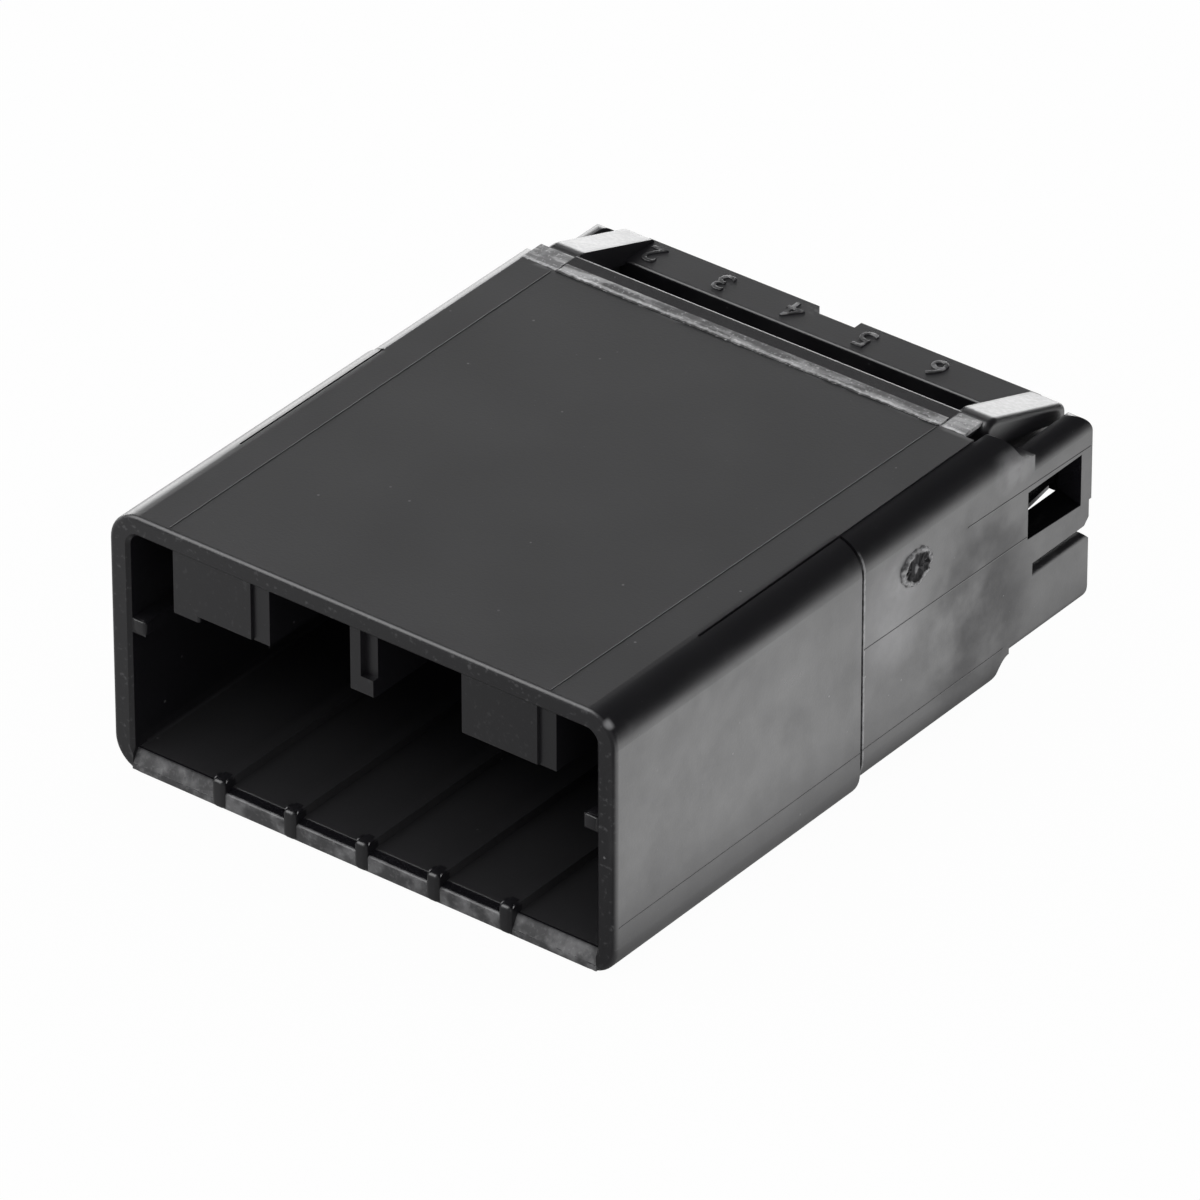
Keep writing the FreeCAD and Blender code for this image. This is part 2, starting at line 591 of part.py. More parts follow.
def build_loop_heads(body):
    """Rounded outer edge and inner lead-in along each loop's head, and the lower arm's rounded edges."""
    slope_end = f"({TOP_REAR} - sizes.slope_overlap + sizes.slope_length)"
    outer, lead = "sizes.loop_round", "sizes.loop_lead_in"
    above = f"{LOOP_TOP} + {ROOT}"
    sketch = new_sketch(body, "loop_head", "XZ_Plane", slope_end)
    draw(sketch, [
        (f"{REAR_HALF} - {outer}", above),
        (f"{REAR_HALF} - {outer}", LOOP_TOP,
         f"{REAR_HALF} - {outer}", f"{LOOP_TOP} - {outer}", "right"),
        (REAR_HALF, f"{LOOP_TOP} - {outer}"),
        (f"{REAR_HALF} + {ROOT}", f"{LOOP_TOP} - {outer}"),
        (f"{REAR_HALF} + {ROOT}", above),
    ])
    draw(sketch, [
        (f"{LOOP_INSIDE} + {lead}", above),
        (f"{LOOP_INSIDE} + {lead}", LOOP_TOP),
        (LOOP_INSIDE, f"{LOOP_TOP} - {lead}"),
        (f"{LOOP_INSIDE} - {ROOT}", f"{LOOP_TOP} - {lead}"),
        (f"{LOOP_INSIDE} - {ROOT}", above),
    ])
    head = add_pocket(body, sketch, f"{LOOP_REAR} + {PAST} - {slope_end}")
    # Rounded outer foot of the lower arm, from the step under the block to the rear
    foot, foot_front = "sizes.lower_arm_round", f"({TOP_REAR} - sizes.tail_step + sizes.tail_inner_radius)"
    sketch = new_sketch(body, "lower_arm_foot", "XZ_Plane", foot_front)
    draw(sketch, [
        (f"{REAR_HALF} - {foot}", LOWER_ARM_BOTTOM,
         f"{REAR_HALF} - {foot}", f"{LOWER_ARM_BOTTOM} + {foot}", "left"),
        (REAR_HALF, f"{LOWER_ARM_BOTTOM} + {foot}"),
        (f"{REAR_HALF} + {ROOT}", f"{LOWER_ARM_BOTTOM} + {foot}"),
        (f"{REAR_HALF} + {ROOT}", f"{LOWER_ARM_BOTTOM} - {ROOT}"),
        (f"{REAR_HALF} - {foot}", f"{LOWER_ARM_BOTTOM} - {ROOT}"),
    ])
    arm_foot = add_pocket(body, sketch, f"{LOOP_REAR} + {PAST} - {foot_front}")
    # Rounded upper edge of the lower arm along the slit
    shoulder, slit_front = "sizes.lower_arm_shoulder", f"({BLOCK_REAR} + sizes.slit_gap)"
    sketch = new_sketch(body, "lower_arm_shoulder", "XZ_Plane", slit_front)
    draw(sketch, [
        (f"{REAR_HALF} - {shoulder}", f"{LOWER_ARM_TOP} + {ROOT}"),
        (f"{REAR_HALF} - {shoulder}", LOWER_ARM_TOP,
         f"{REAR_HALF} - {shoulder}", f"{LOWER_ARM_TOP} - {shoulder}", "right"),
        (REAR_HALF, f"{LOWER_ARM_TOP} - {shoulder}"),
        (f"{REAR_HALF} + {ROOT}", f"{LOWER_ARM_TOP} - {shoulder}"),
        (f"{REAR_HALF} + {ROOT}", f"{LOWER_ARM_TOP} + {ROOT}"),
    ])
    arm_head = add_pocket(body, sketch, f"{LOOP_REAR} + {PAST} - {slit_front}")
    add_mirror(body, [head, arm_foot, arm_head], "left_loop_head")


def build_housing(doc):
    """The one-piece housing."""
    body = make_body(doc, "housing")
    for step in (build_shell, build_rear_walls, build_flap_bay, build_tail, build_mouth, build_keys,
                 build_floor_ribs, build_cores, build_wire_cavities, build_loop_heads):
        step(body)
    return body


def arm_outline():
    """Side view of a flap arm, whose top runs level, bends and slopes down without a corner."""
    lean, bend, corner = "sizes.arm_slope", "sizes.arm_bend_radius", "sizes.arm_corner"
    bend_y = f"({ARM_FRONT} + sizes.arm_level_run)"
    slope_y = f"({bend_y} + {bend} * sin({lean}))"
    slope_z = f"(sizes.height - {bend} * (1 - cos({lean})))"
    end_y = f"({FLAP_REAR} - {corner})"
    end_z = f"({slope_z} - ({end_y} - {slope_y}) * tan({lean}) - {corner} / cos({lean}))"
    return [
        (ARM_FRONT, ARM_FRONT_BOTTOM),
        (FLAP_REAR, ARM_END_BOTTOM),
        (FLAP_REAR, end_z, end_y, end_z, "left"),
        (f"{end_y} + {corner} * sin({lean})", f"{end_z} + {corner} * cos({lean})"),
        (slope_y, slope_z, bend_y, f"sizes.height - {bend}", "left"),
        (bend_y, "sizes.height"),
        (f"{ARM_FRONT} + {corner}", "sizes.height",
         f"{ARM_FRONT} + {corner}", f"sizes.height - {corner}", "left"),
        (ARM_FRONT, f"sizes.height - {corner}"),
    ]


def build_flap(doc):
    """The hinged rear lock with its bar, arms, plate and legs."""
    body = make_body(doc, "rear_lock_flap")
    web_half = f"({FLAP_HALF} - sizes.web_side_gap)"
    bar_rear = f"({FLAP_FRONT} + sizes.bar_depth)"
    plate_top = "(sizes.height - sizes.plate_drop)"
    plate_bottom = f"({plate_top} - sizes.plate_thickness)"
    plate_front = f"({FLAP_REAR} - sizes.plate_depth)"
    # Bar along the hinge, between the arms
    sketch = new_sketch(body, "bar", "YZ_Plane")
    draw(sketch, [
        (FLAP_FRONT, ARM_FRONT_BOTTOM),
        (bar_rear, ARM_FRONT_BOTTOM),
        (bar_rear, "sizes.height - sizes.edge_round", f"{bar_rear} - sizes.edge_round",
         "sizes.height - sizes.edge_round", "left"),
        (f"{bar_rear} - sizes.edge_round", "sizes.height"),
        (FLAP_FRONT, "sizes.height"),
    ])
    add_pad(body, sketch, f"2 * ({ARM_INSIDE} + {ROOT / 3})", middle=True)
    # Moving half of the web
    sketch = new_sketch(body, "moving_web", "XZ_Plane", f"{HINGE_Y} + sizes.web_half_gap")
    draw(sketch, rectangle(f"-{web_half}", web_half, f"{HINGE_Z} - sizes.web_thickness / 2",
                           f"{HINGE_Z} + sizes.web_thickness / 2"))
    add_pad(body, sketch, f"sizes.hinge_width / 2 - sizes.web_half_gap + sizes.arm_set_back + {ROOT}",
            reverse=True)
    # Sloping arm of the right side, with its leg and wedge
    sketch = new_sketch(body, "flap_arm", "YZ_Plane", FLAP_HALF)
    draw(sketch, arm_outline())
    arm = add_pad(body, sketch, "sizes.flap_arm_width", reverse=True)
    # Leg under the arm: a thin plate, deeper towards the rear, that guides the flap between the loops
    leg_outer = f"({FLAP_HALF} - sizes.leg_inset)"
    leg_rear, toe = f"({FLAP_REAR} - sizes.leg_end_gap)", "sizes.leg_toe_depth"
    leg_front = f"({BLOCK_REAR} + sizes.leg_front_gap)"
    sketch = new_sketch(body, "flap_leg", "YZ_Plane", leg_outer)
    draw(sketch, [
        (leg_front, "sizes.height - sizes.leg_front_drop"),
        (f"{leg_rear} - {toe}", "sizes.height - sizes.leg_toe_drop"),
        (leg_rear, "sizes.height - sizes.leg_heel_drop"),
        (leg_rear, f"{ARM_END_BOTTOM} + {ROOT}"),
        (leg_front, f"{ARM_FRONT_BOTTOM} - {ROOT / 3}"),
    ])
    leg = add_pad(body, sketch, "sizes.leg_width", reverse=True)
    # Wedge on the leg, just below the head of the window and just ahead of its post
    wedge_top, wedge_rear = f"({WINDOW_TOP} - sizes.wedge_top_gap)", \
        f"({LOOP_REAR} - sizes.post_width - sizes.wedge_side_gap)"
    wedge_foot = f"({wedge_top} - sizes.wedge_height)"
    sketch = new_sketch(body, "flap_wedge", "XZ_Plane", f"{wedge_rear} - sizes.wedge_depth")
    draw(sketch, [
        (f"{leg_outer} - {ROOT}", wedge_foot),
        (leg_outer, wedge_foot),
        (f"{LOOP_INSIDE} - sizes.wedge_gap", wedge_top),
        (f"{leg_outer} - {ROOT}", wedge_top),
    ])
    wedge = add_pad(body, sketch, "sizes.wedge_depth", reverse=True)
    add_mirror(body, [arm, leg, wedge], "left_flap_arm")
    # Numbered plate with its notch and its lip below
    half, notch = ARM_INSIDE, "(sizes.notch_width / 2)"
    sketch = new_sketch(body, "plate", "XY_Plane", plate_bottom)
    draw(sketch, [
        (f"0 - {half} - {ROOT}", plate_front),
        (f"{half} + {ROOT}", plate_front),
        (f"{half} + {ROOT}", FLAP_REAR),
        (notch, FLAP_REAR),
        (notch, f"{FLAP_REAR} - sizes.notch_depth"),
        (f"0 - {notch}", f"{FLAP_REAR} - sizes.notch_depth"),
        (f"0 - {notch} - sizes.notch_slant", FLAP_REAR),
        (f"0 - {half} - {ROOT}", FLAP_REAR),
    ])
    add_pad(body, sketch, "sizes.plate_thickness")
    sketch = new_sketch(body, "plate_lip", "XY_Plane", f"{plate_bottom} - sizes.lip_height")
    draw(sketch, rectangle(f"0 - {half} - {ROOT}", f"{half} + {ROOT}", plate_front,
                           f"{plate_front} + sizes.lip_thickness"))
    add_pad(body, sketch, f"sizes.lip_height + {ROOT}")
    # Soft front edge of the plate
    front_y, top_z = body.evalExpression(plate_front), body.evalExpression(plate_top)
    add_edge_feature(body, "Fillet", "plate_edge", "sizes.edge_round", lambda edge, middle: (
        close(middle.y, front_y) and close(middle.z, top_z) and edge.BoundBox.XLength > 1))
    # Rounded outer rim of each arm: every edge of its outer face that lies above its underside
    places = (FLAP_HALF, ARM_FRONT, FLAP_REAR, ARM_FRONT_BOTTOM, ARM_END_BOTTOM)
    flap_half, front, rear, front_z, rear_z = (body.evalExpression(item) for item in places)

    def on_rim(edge, middle):
        underside = front_z + (rear_z - front_z) * (middle.y - front) / (rear - front)
        outer = close(abs(middle.x), flap_half) and edge.BoundBox.XLength < 0.01
        return outer and middle.z > underside + 0.05

    add_edge_feature(body, "Fillet", "arm_round", "sizes.arm_round", on_rim)
    return body


def check(doc, bodies):
    """Stop if a feature failed or a body is not one valid solid."""
    for item in doc.Objects:
        if "Invalid" in item.State or "Error" in item.State:
            raise RuntimeError(f"{item.Name} failed: {item.State}")
    for body in bodies:
        shape = body.Shape
        if shape.isNull() or not shape.isValid() or len(shape.Solids) != 1:
            raise RuntimeError(f"{body.Label} is not one valid solid")


def main():
    """Build both bodies and write one file for each."""
    os.makedirs("parts", exist_ok=True)
    doc = FreeCAD.newDocument("connector_housing")
    make_sheet(doc)
    bodies = [build_housing(doc), build_flap(doc)]
    doc.recompute()
    check(doc, bodies)
    for body in bodies:
        body.Shape.exportStep(f"parts/{body.Label}.step")
        box = body.Shape.BoundBox
        print(body.Label, round(body.Shape.Volume, 2), [round(v, 3) for v in (
            box.XMin, box.YMin, box.ZMin, box.XMax, box.YMax, box.ZMax)])


main()
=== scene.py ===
"""Looks of a moulded connector housing with a hinged rear lock flap."""

import logging
import math
from dataclasses import dataclass
from enum import Enum
from typing import Any, Callable, Sequence

import bpy
from mathutils import Matrix, Vector


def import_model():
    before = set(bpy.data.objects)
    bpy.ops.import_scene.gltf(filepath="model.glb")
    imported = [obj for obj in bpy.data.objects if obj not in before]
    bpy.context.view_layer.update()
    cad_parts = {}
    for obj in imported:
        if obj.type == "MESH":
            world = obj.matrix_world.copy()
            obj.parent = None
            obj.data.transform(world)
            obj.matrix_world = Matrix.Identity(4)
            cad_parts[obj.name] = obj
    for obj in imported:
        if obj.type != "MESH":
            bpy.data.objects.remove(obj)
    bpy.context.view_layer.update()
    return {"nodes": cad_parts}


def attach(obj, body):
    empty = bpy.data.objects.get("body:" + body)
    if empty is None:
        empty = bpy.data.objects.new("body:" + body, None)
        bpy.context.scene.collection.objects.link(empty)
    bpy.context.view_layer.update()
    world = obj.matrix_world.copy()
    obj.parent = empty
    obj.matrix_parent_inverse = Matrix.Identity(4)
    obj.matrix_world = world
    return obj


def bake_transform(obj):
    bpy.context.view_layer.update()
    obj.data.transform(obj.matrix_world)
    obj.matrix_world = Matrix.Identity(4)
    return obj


LOG = logging.getLogger("connector_housing")

Point = tuple[float, float, float]
Spot = tuple[float, float]
Test = Callable[[Vector, Vector], bool]

# Sizes are in millimetres, apart from those that carry MM, which are in metres
MM = 0.001
# Y is counted from the mouth, and the model's middle lies this far behind it
MIDDLE = 15.2
PITCH = 3.5
ROOF = 11.75
REAR_WALL = 12.19
HINGE_LEVEL = 11.6
SCAR: Spot = (18.85, 9.05)
SCAR_RADII: Spot = (1.0, 0.82)


def at(x: float, y: float, z: float) -> Vector:
    """Place in metres of a point in millimetres, with Y counted from the mouth."""
    return Vector((x * MM, (y - MIDDLE) * MM, z * MM))


def everything(place: Vector, direction: Vector) -> bool:
    """Test that every element passes."""
    return True


def runs_along(direction: Vector, axis: int) -> bool:
    """Whether an edge runs nearly along an axis."""
    return abs(direction.normalized()[axis]) > 0.9


class Side(Enum):
    """Side of the housing that one piece of a pair is on."""

    LEFT = "left"
    RIGHT = "right"


class Element(Enum):
    """Kind of element that is selected on a mesh."""

    CORNER = "VERT"
    EDGE = "EDGE"
    FACE = "FACE"


class Socket:
    """An output of a shader node, on which sums are written as plain expressions."""

    def __init__(self, tree: "ShaderTree", output: Any) -> None:
        """Keep the tree and the output.

        Args:
            tree: The tree that the sums go into.
            output: The node output that holds the value.
        """
        self.tree = tree
        self.output = output

    def _math(self, operation: str, first: Any, second: Any) -> "Socket":
        """Add a Math node and return its value."""
        return self.tree.node("ShaderNodeMath", {"operation": operation}, {0: first, 1: second})

    def __add__(self, other: Any) -> "Socket":
        """Sum."""
        return self._math("ADD", self, other)

    __radd__ = __add__

    def __sub__(self, other: Any) -> "Socket":
        """Difference."""
        return self._math("SUBTRACT", self, other)

    def __rsub__(self, other: Any) -> "Socket":
        """Difference with the value on the right."""
        return self._math("SUBTRACT", other, self)

    def __mul__(self, other: Any) -> "Socket":
        """Product."""
        return self._math("MULTIPLY", self, other)

    __rmul__ = __mul__

    def __rtruediv__(self, other: Any) -> "Socket":
        """Quotient with the value below the line."""
        return self._math("DIVIDE", other, self)

    def at_least(self, other: Any) -> "Socket":
        """The larger of the two."""
        return self._math("MAXIMUM", self, other)

    def at_most(self, other: Any) -> "Socket":
        """The smaller of the two."""
        return self._math("MINIMUM", self, other)


class ShaderTree:
    """Node tree of one material, with one way to add a node."""

    def __init__(self, owner: Any) -> None:
        """Empty the tree.

        Args:
            owner: The material or the world whose nodes are built.
        """
        owner.use_nodes = True
        self.owner = owner
        self.tree = owner.node_tree
        self.tree.nodes.clear()

    def node(self, kind: str, settings: dict[str, Any], inputs: dict[Any, Any],
             output: Any = 0) -> Socket:
        """Add one node.

        Args:
            kind: The node's type name.
            settings: Properties that are set before the inputs.
            inputs: Values or sockets, by the input's name or number.
            output: Which output is returned.

        Returns:
            The chosen output.
        """
        made = self.tree.nodes.new(kind)
        for name, value in settings.items():
            setattr(made, name, value)
        for name, value in inputs.items():
            if isinstance(value, Socket):
                self.tree.links.new(value.output, made.inputs[name])
            else:
                made.inputs[name].default_value = value
        return Socket(self, made.outputs[output])

    def place(self) -> Socket:
        """Coordinates of the object, in metres."""
        return self.node("ShaderNodeTexCoord", {}, {}, "Object")

    def rays(self, kind: str) -> Socket:
        """One for rays of a kind, such as Is Camera Ray, and zero for the rest."""
        return self.node("ShaderNodeLightPath", {}, {}, kind)

    def ease(self, value: Any, low: float, high: float) -> Socket:
        """Soft step from 0 at low to 1 at high, where low may be the larger."""
        first, last = (0.0, 1.0) if low < high else (1.0, 0.0)
        return self.node("ShaderNodeMapRange",
                         {"data_type": "FLOAT", "interpolation_type": "SMOOTHSTEP"},
                         {0: value, 1: min(low, high), 2: max(low, high), 3: first, 4: last})

    def toward(self, direction: Socket, aim: Sequence[float]) -> Socket:
        """Cosine between a direction and an aim."""
        unit = Vector(aim).normalized()
        return self.node("ShaderNodeVectorMath", {"operation": "DOT_PRODUCT"},
                         {0: direction, 1: tuple(unit)}, "Value")

    def parts(self, vector: Socket) -> list[Socket]:
        """The three numbers of a vector."""
        return [self.node("ShaderNodeSeparateXYZ", {}, {0: vector}, output) for output in "XYZ"]

    def millimetres(self) -> list[Socket]:
        """X, Y and Z of the surface in millimetres, with Y counted from the mouth."""
        x, y, z = self.parts(self.place())
        return [x * 1000.0, y * 1000.0 + MIDDLE, z * 1000.0]

    def size(self, value: Socket) -> Socket:
        """The number without its sign."""
        return self.node("ShaderNodeMath", {"operation": "ABSOLUTE"}, {0: value})

    def noise(self, scale: float, detail: float = 3.0, stretch: Point = (1.0, 1.0, 1.0)) -> Socket:
        """Cloudy noise around 0.5.

        Args:
            scale: Clouds per millimetre.
            detail: How many finer layers it has.
            stretch: Factor on each direction of the coordinates.

        Returns:
            The noise.
        """
        spot = self.node("ShaderNodeVectorMath", {"operation": "MULTIPLY"},
                         {0: self.place(), 1: tuple(f * scale * 1000.0 for f in stretch)})
        return self.node("ShaderNodeTexNoise", {},
                         {"Vector": spot, "Scale": 1.0, "Detail": detail}, "Fac")

    def specks(self, scale: float, radius: float) -> Socket:
        """One inside small scattered dots, with so many cells per millimetre."""
        cells = self.node("ShaderNodeTexVoronoi", {"feature": "F1"},
                          {"Vector": self.place(), "Scale": scale * 1000.0, "Randomness": 1.0},
                          "Distance")
        return self.ease(cells, radius, radius * 0.6)

    def patch(self, first: Socket, second: Socket, centre: Spot, radii: Spot) -> Socket:
        """Soft oval patch: one in its middle and zero from its rim on."""
        a, b = (first - centre[0]) * (1 / radii[0]), (second - centre[1]) * (1 / radii[1])
        return self.ease(a * a + b * b, 1.0, 0.0)

    def band(self, value: Socket, low: float, high: float, soft: float) -> Socket:
        """One between two values, with soft ends."""
        return self.ease(value, low - soft, low) * self.ease(value, high + soft, high)

    def mix(self, factor: Socket, first: Any, second: Any) -> Socket:
        """Blend of two colours, each a socket or three numbers."""
        first, second = (c if isinstance(c, Socket) else (*c, 1.0) for c in (first, second))
        return self.node("ShaderNodeMix", {"data_type": "RGBA"},
                         {"Factor": factor, 6: first, 7: second}, 2)

    def grey(self, value: Socket) -> Socket:
        """A grey of the given strength."""
        return self.node("ShaderNodeCombineColor", {}, {0: value, 1: value, 2: value})

    def finish(self, shader: Socket) -> None:
        """Connect a shader to the surface."""
        world = isinstance(self.owner, bpy.types.World)
        end = self.tree.nodes.new("ShaderNodeOutputWorld" if world else "ShaderNodeOutputMaterial")
        self.tree.links.new(shader.output, end.inputs["Surface"])


# Finishes of the moulded pieces


@dataclass(frozen=True)
class MouldedPlastic:
    """Black moulded plastic with a fine satin skin, pale specks and a piece's own marks."""

    name: str
    colour: Point = (0.0088, 0.0084, 0.0104)
    pale: Point = (0.46, 0.46, 0.47)
    tone_spread: float = 0.15
    roughness: float = 0.36
    least_roughness: float = 0.12
    cloud_dullness: float = 0.10
    grain_dullness: float = 0.05
    grain: float = 0.25
    grain_depth: float = 0.012 * MM
    refraction: float = 1.6

    def marks(self, tree: ShaderTree) -> tuple[Any, Any]:
        """Whitening and dullness of this finish.

        Args:
            tree: The tree that the nodes go into.

        Returns:
            How pale the surface is, from 0 to 1, and what is added to its roughness.
        """
        return tree.specks(0.9, 0.035) * 0.10, 0.0

    def build(self) -> bpy.types.Material:
        """Make the material.

        Returns:
            The finished material.
        """
        material = bpy.data.materials.new(self.name)
        tree = ShaderTree(material)
        cloud, fine = tree.noise(0.26), tree.noise(9.0, 2.0)
        pale, dull = self.marks(tree)
        rough = self.roughness + (cloud - 0.5) * self.cloud_dullness
        rough = rough + (fine - 0.5) * self.grain_dullness + dull
        darker, lighter = ([c * (1.0 + spread) for c in self.colour]
                           for spread in (-self.tone_spread, self.tone_spread))
        tone = tree.mix(pale, tree.mix(cloud, darker, lighter), self.pale)
        bump = tree.node("ShaderNodeBump", {}, {
            "Strength": self.grain, "Distance": self.grain_depth, "Height": fine})
        tree.finish(tree.node("ShaderNodeBsdfPrincipled", {}, {
            "Base Color": tone, "Roughness": rough.at_least(self.least_roughness),
            "Normal": bump, "IOR": self.refraction}))
        return material


@dataclass(frozen=True)
class Haze:
    """Soft oval of whitening on the side walls, broken up by a noise between two of its values."""

    centre: Spot
    radii: Spot
    noise: Spot
    strength: float
    base: float = 0.0
    small: bool = False
    right_only: bool = False


class Surface:
    """Where a point of the housing lies, and the noises that break up its marks."""

    def __init__(self, tree: ShaderTree) -> None:
        """Read the place and lay the noises.

        Args:
            tree: The tree that the nodes go into.
        """
        self.x, self.y, self.z = tree.millimetres()
        self.wide = tree.size(self.x)
        self.clouds = tree.noise(0.35, 4.0)
        self.mottle = tree.noise(1.1, 4.0)
        self.fine = tree.noise(4.5, 3.0)


@dataclass(frozen=True)
class HousingSkin(MouldedPlastic):
    """Skin of the housing: clouded side walls, whitening on bent edges, painted highlights beside
    the seam and on the mouth's corner, and painted light on the mouth's floor.
    """

    wall: Spot = (11.8, 12.1)
    hazes: tuple[Haze, ...] = (
        Haze((17.4, 7.6), (2.7, 3.0), (0.30, 0.75), 0.26, base=0.07, right_only=True),
        Haze((18.3, 9.0), (1.7, 1.5), (0.35, 0.65), 0.16, small=True, right_only=True),
        Haze((4.6, 7.4), (4.0, 3.2), (0.50, 0.80), 0.10),
        Haze((25.4, 10.4), (1.7, 1.4), (0.30, 0.65), 0.20, small=True),
    )
    seam: Spot = (15.5, 15.58)
    corner: Spot = (11.98, 11.46)
    corner_radii: Spot = (0.42, 0.30)
    roof_top: Spot = (11.62, 11.70)
    roof_rear: Spot = (23.78, 24.0)
    floor_levels: tuple[float, float, float, float] = (0.3, 0.5, 1.3, 1.5)
    floor_side: Spot = (11.34, 11.2)
    floor_front: Spot = (0.4, 0.5)
    floor_fade: Spot = (11.0, 4.0)
    shade: Spot = (22.7, 5.0)
    shade_radii: Spot = (4.4, 6.0)
    window_depths: Spot = (26.0, 29.75)
    window_levels: Spot = (6.35, 8.85)
    window_side: Spot = (12.14, 12.10)
    window_gloss: float = 0.3

    def wall_marks(self, tree: ShaderTree, spot: Surface) -> Socket:
        """Haze of the side walls and a speckled painted highlight beside the seam."""
        right = tree.ease(spot.x, *self.wall)
        pale = tree.ease(spot.clouds, 0.52, 0.85) * 0.05 + tree.ease(spot.mottle, 0.58, 0.80) * 0.02
        for haze in self.hazes:
            broken = tree.ease(spot.mottle if haze.small else spot.clouds, *haze.noise)
            cover = tree.patch(spot.y, spot.z, haze.centre, haze.radii)
            cover = cover * (broken * haze.strength + haze.base)
            pale = pale + (right * cover if haze.right_only else cover)
        # Speckled painted highlight along the seam's rear edge.
        speckled = tree.ease(spot.fine, 0.4, 0.6) * 0.22 + 0.14
        return pale + tree.band(spot.y, *self.seam, 0.05) * speckled

    def mouth_marks(self, tree: ShaderTree, spot: Surface) -> Socket:
        """Wear on the mouth's front edges, a painted highlight on its top right corner, and painted
        light on the front of its floor that fades into the mouth.
        """
        wear = tree.ease(spot.y, 0.22, 0.05) * tree.ease(spot.fine, 0.58, 0.74) * 0.10
        # Painted highlight on the mouth's top right corner.
        corner = tree.patch(spot.x, spot.z, self.corner, self.corner_radii)
        corner = corner * tree.ease(spot.y, 0.45, 0.2) * 0.55
        # Painted light on the mouth's floor, brightest near the front and fading out deeper into
        # the mouth.
        under, low, high, over = self.floor_levels
        floor = tree.ease(spot.z, under, low) * tree.ease(spot.z, over, high)
        floor = floor * tree.ease(spot.wide, *self.floor_side)
        floor = floor * tree.ease(spot.y, *self.floor_front) * tree.ease(spot.y, *self.floor_fade)
        return wear + corner + floor * 0.06

    def roof_marks(self, tree: ShaderTree, spot: Surface) -> Socket:
        """Whitened rear edge of the roof, and specks that gather in the clouds."""
        crease = tree.ease(spot.z, *self.roof_top) * tree.ease(spot.y, *self.roof_rear)
        crease = crease * tree.ease(spot.mottle, 0.45, 0.65) * 0.16
        dots = tree.specks(0.75, 0.05) + tree.specks(1.9, 0.05) * 0.4
        return crease + dots * tree.ease(spot.clouds, 0.40, 0.60) * 0.26

    def marks(self, tree: ShaderTree) -> tuple[Any, Any]:
        """Whitening, painted highlights and painted light, and dullness of the housing."""
        spot = Surface(tree)
        side = tree.ease(spot.wide, *self.wall)
        pale = side * self.wall_marks(tree, spot)
        pale = pale + self.mouth_marks(tree, spot) + self.roof_marks(tree, spot)
        shaded = tree.patch(spot.y, spot.z, self.shade, self.shade_radii)
        shaded = shaded * tree.ease(spot.clouds, 0.24, 0.58) * 0.22
        uneven = (spot.clouds - 0.5) * 0.30 + (spot.mottle - 0.5) * 0.12
        window = tree.band(spot.y, *self.window_depths, 0.05)
        window = window * tree.band(spot.z, *self.window_levels, 0.05)
        window = window * tree.ease(spot.wide, *self.window_side)
        dull = side * (uneven + shaded) + (spot.mottle - 0.5) * 0.04 - window * self.window_gloss
        return pale.at_most(1.0), dull


@dataclass(frozen=True)
class FlapSkin(MouldedPlastic):
    """Skin of the flap: a painted reflection along the arms' tops, a painted highlight on the bar's
    rear edge, and a scuffed plate.
    """

    arm_inner: Spot = (9.36, 9.50)
    arm_outer: Spot = (10.72, 10.60)
    arm_front: Spot = (25.55, 25.90)
    arm_top: Spot = (11.66, 11.74)
    slope_start: float = 25.7
    slope: float = 0.3365
    notch: Spot = (-0.95, 30.1)
    notch_radii: Spot = (0.7, 0.5)
    bar_side: Spot = (9.45, 9.35)
    bar_rear: Spot = (25.7, 25.6)
    bar_edge: Spot = (25.36, 25.52)
    bar_top: Spot = (11.62, 11.70)
    bar_gloss: float = 0.14

    def marks(self, tree: ShaderTree) -> tuple[Any, Any]:
        """Whitening, painted reflection and painted highlight, and dullness of the flap."""
        x, y, z = tree.millimetres()
        wide = tree.size(x)
        fine, mottle = tree.noise(5.0, 3.0), tree.noise(1.1, 4.0)
        top = z + (y - self.slope_start) * self.slope
        # Painted reflection of the backdrop along the tops of the arms, mottled.
        arm_tops = tree.ease(wide, *self.arm_inner) * tree.ease(wide, *self.arm_outer)
        arm_tops = arm_tops * tree.ease(top, *self.arm_top) * tree.ease(y, *self.arm_front)
        painted_arm_reflection = arm_tops * (0.22 + tree.ease(fine, 0.35, 0.7) * 0.12)
        notch = tree.patch(x, y, self.notch, self.notch_radii) * tree.ease(fine, 0.45, 0.6) * 0.10
        dots = tree.specks(1.1, 0.05) * 0.15
        middle = tree.ease(wide, *self.bar_side)
        # Painted highlight along the top of the bar's rear edge.
        edge = middle * tree.band(y, *self.bar_edge, 0.03) * tree.ease(z, *self.bar_top)
        edge = edge * (0.10 + tree.ease(fine, 0.35, 0.6) * 0.14)
        bar = middle * tree.ease(y, *self.bar_rear)
        dull = (mottle - 0.5) * 0.08 - bar * self.bar_gloss
        return (painted_arm_reflection + notch + dots + edge).at_most(1.0), dull


@dataclass(frozen=True)
class NumbersWithPaintedGlints(MouldedPlastic):
    """Skin of the raised numbers, a little pale, with painted highlights here and there on their
    crests.
    """

    crest: Spot = (10.13, 10.17)

    def marks(self, tree: ShaderTree) -> tuple[Any, Any]:
        """Paleness with painted highlights, and dullness of the numbers."""
        _, _, z = tree.millimetres()
        crest = tree.ease(z, *self.crest)
        # Painted highlights scattered over the numbers' crests.
        return 0.03 + crest * tree.ease(tree.noise(3.2, 3.0), 0.48, 0.62) * 0.30, 0.0


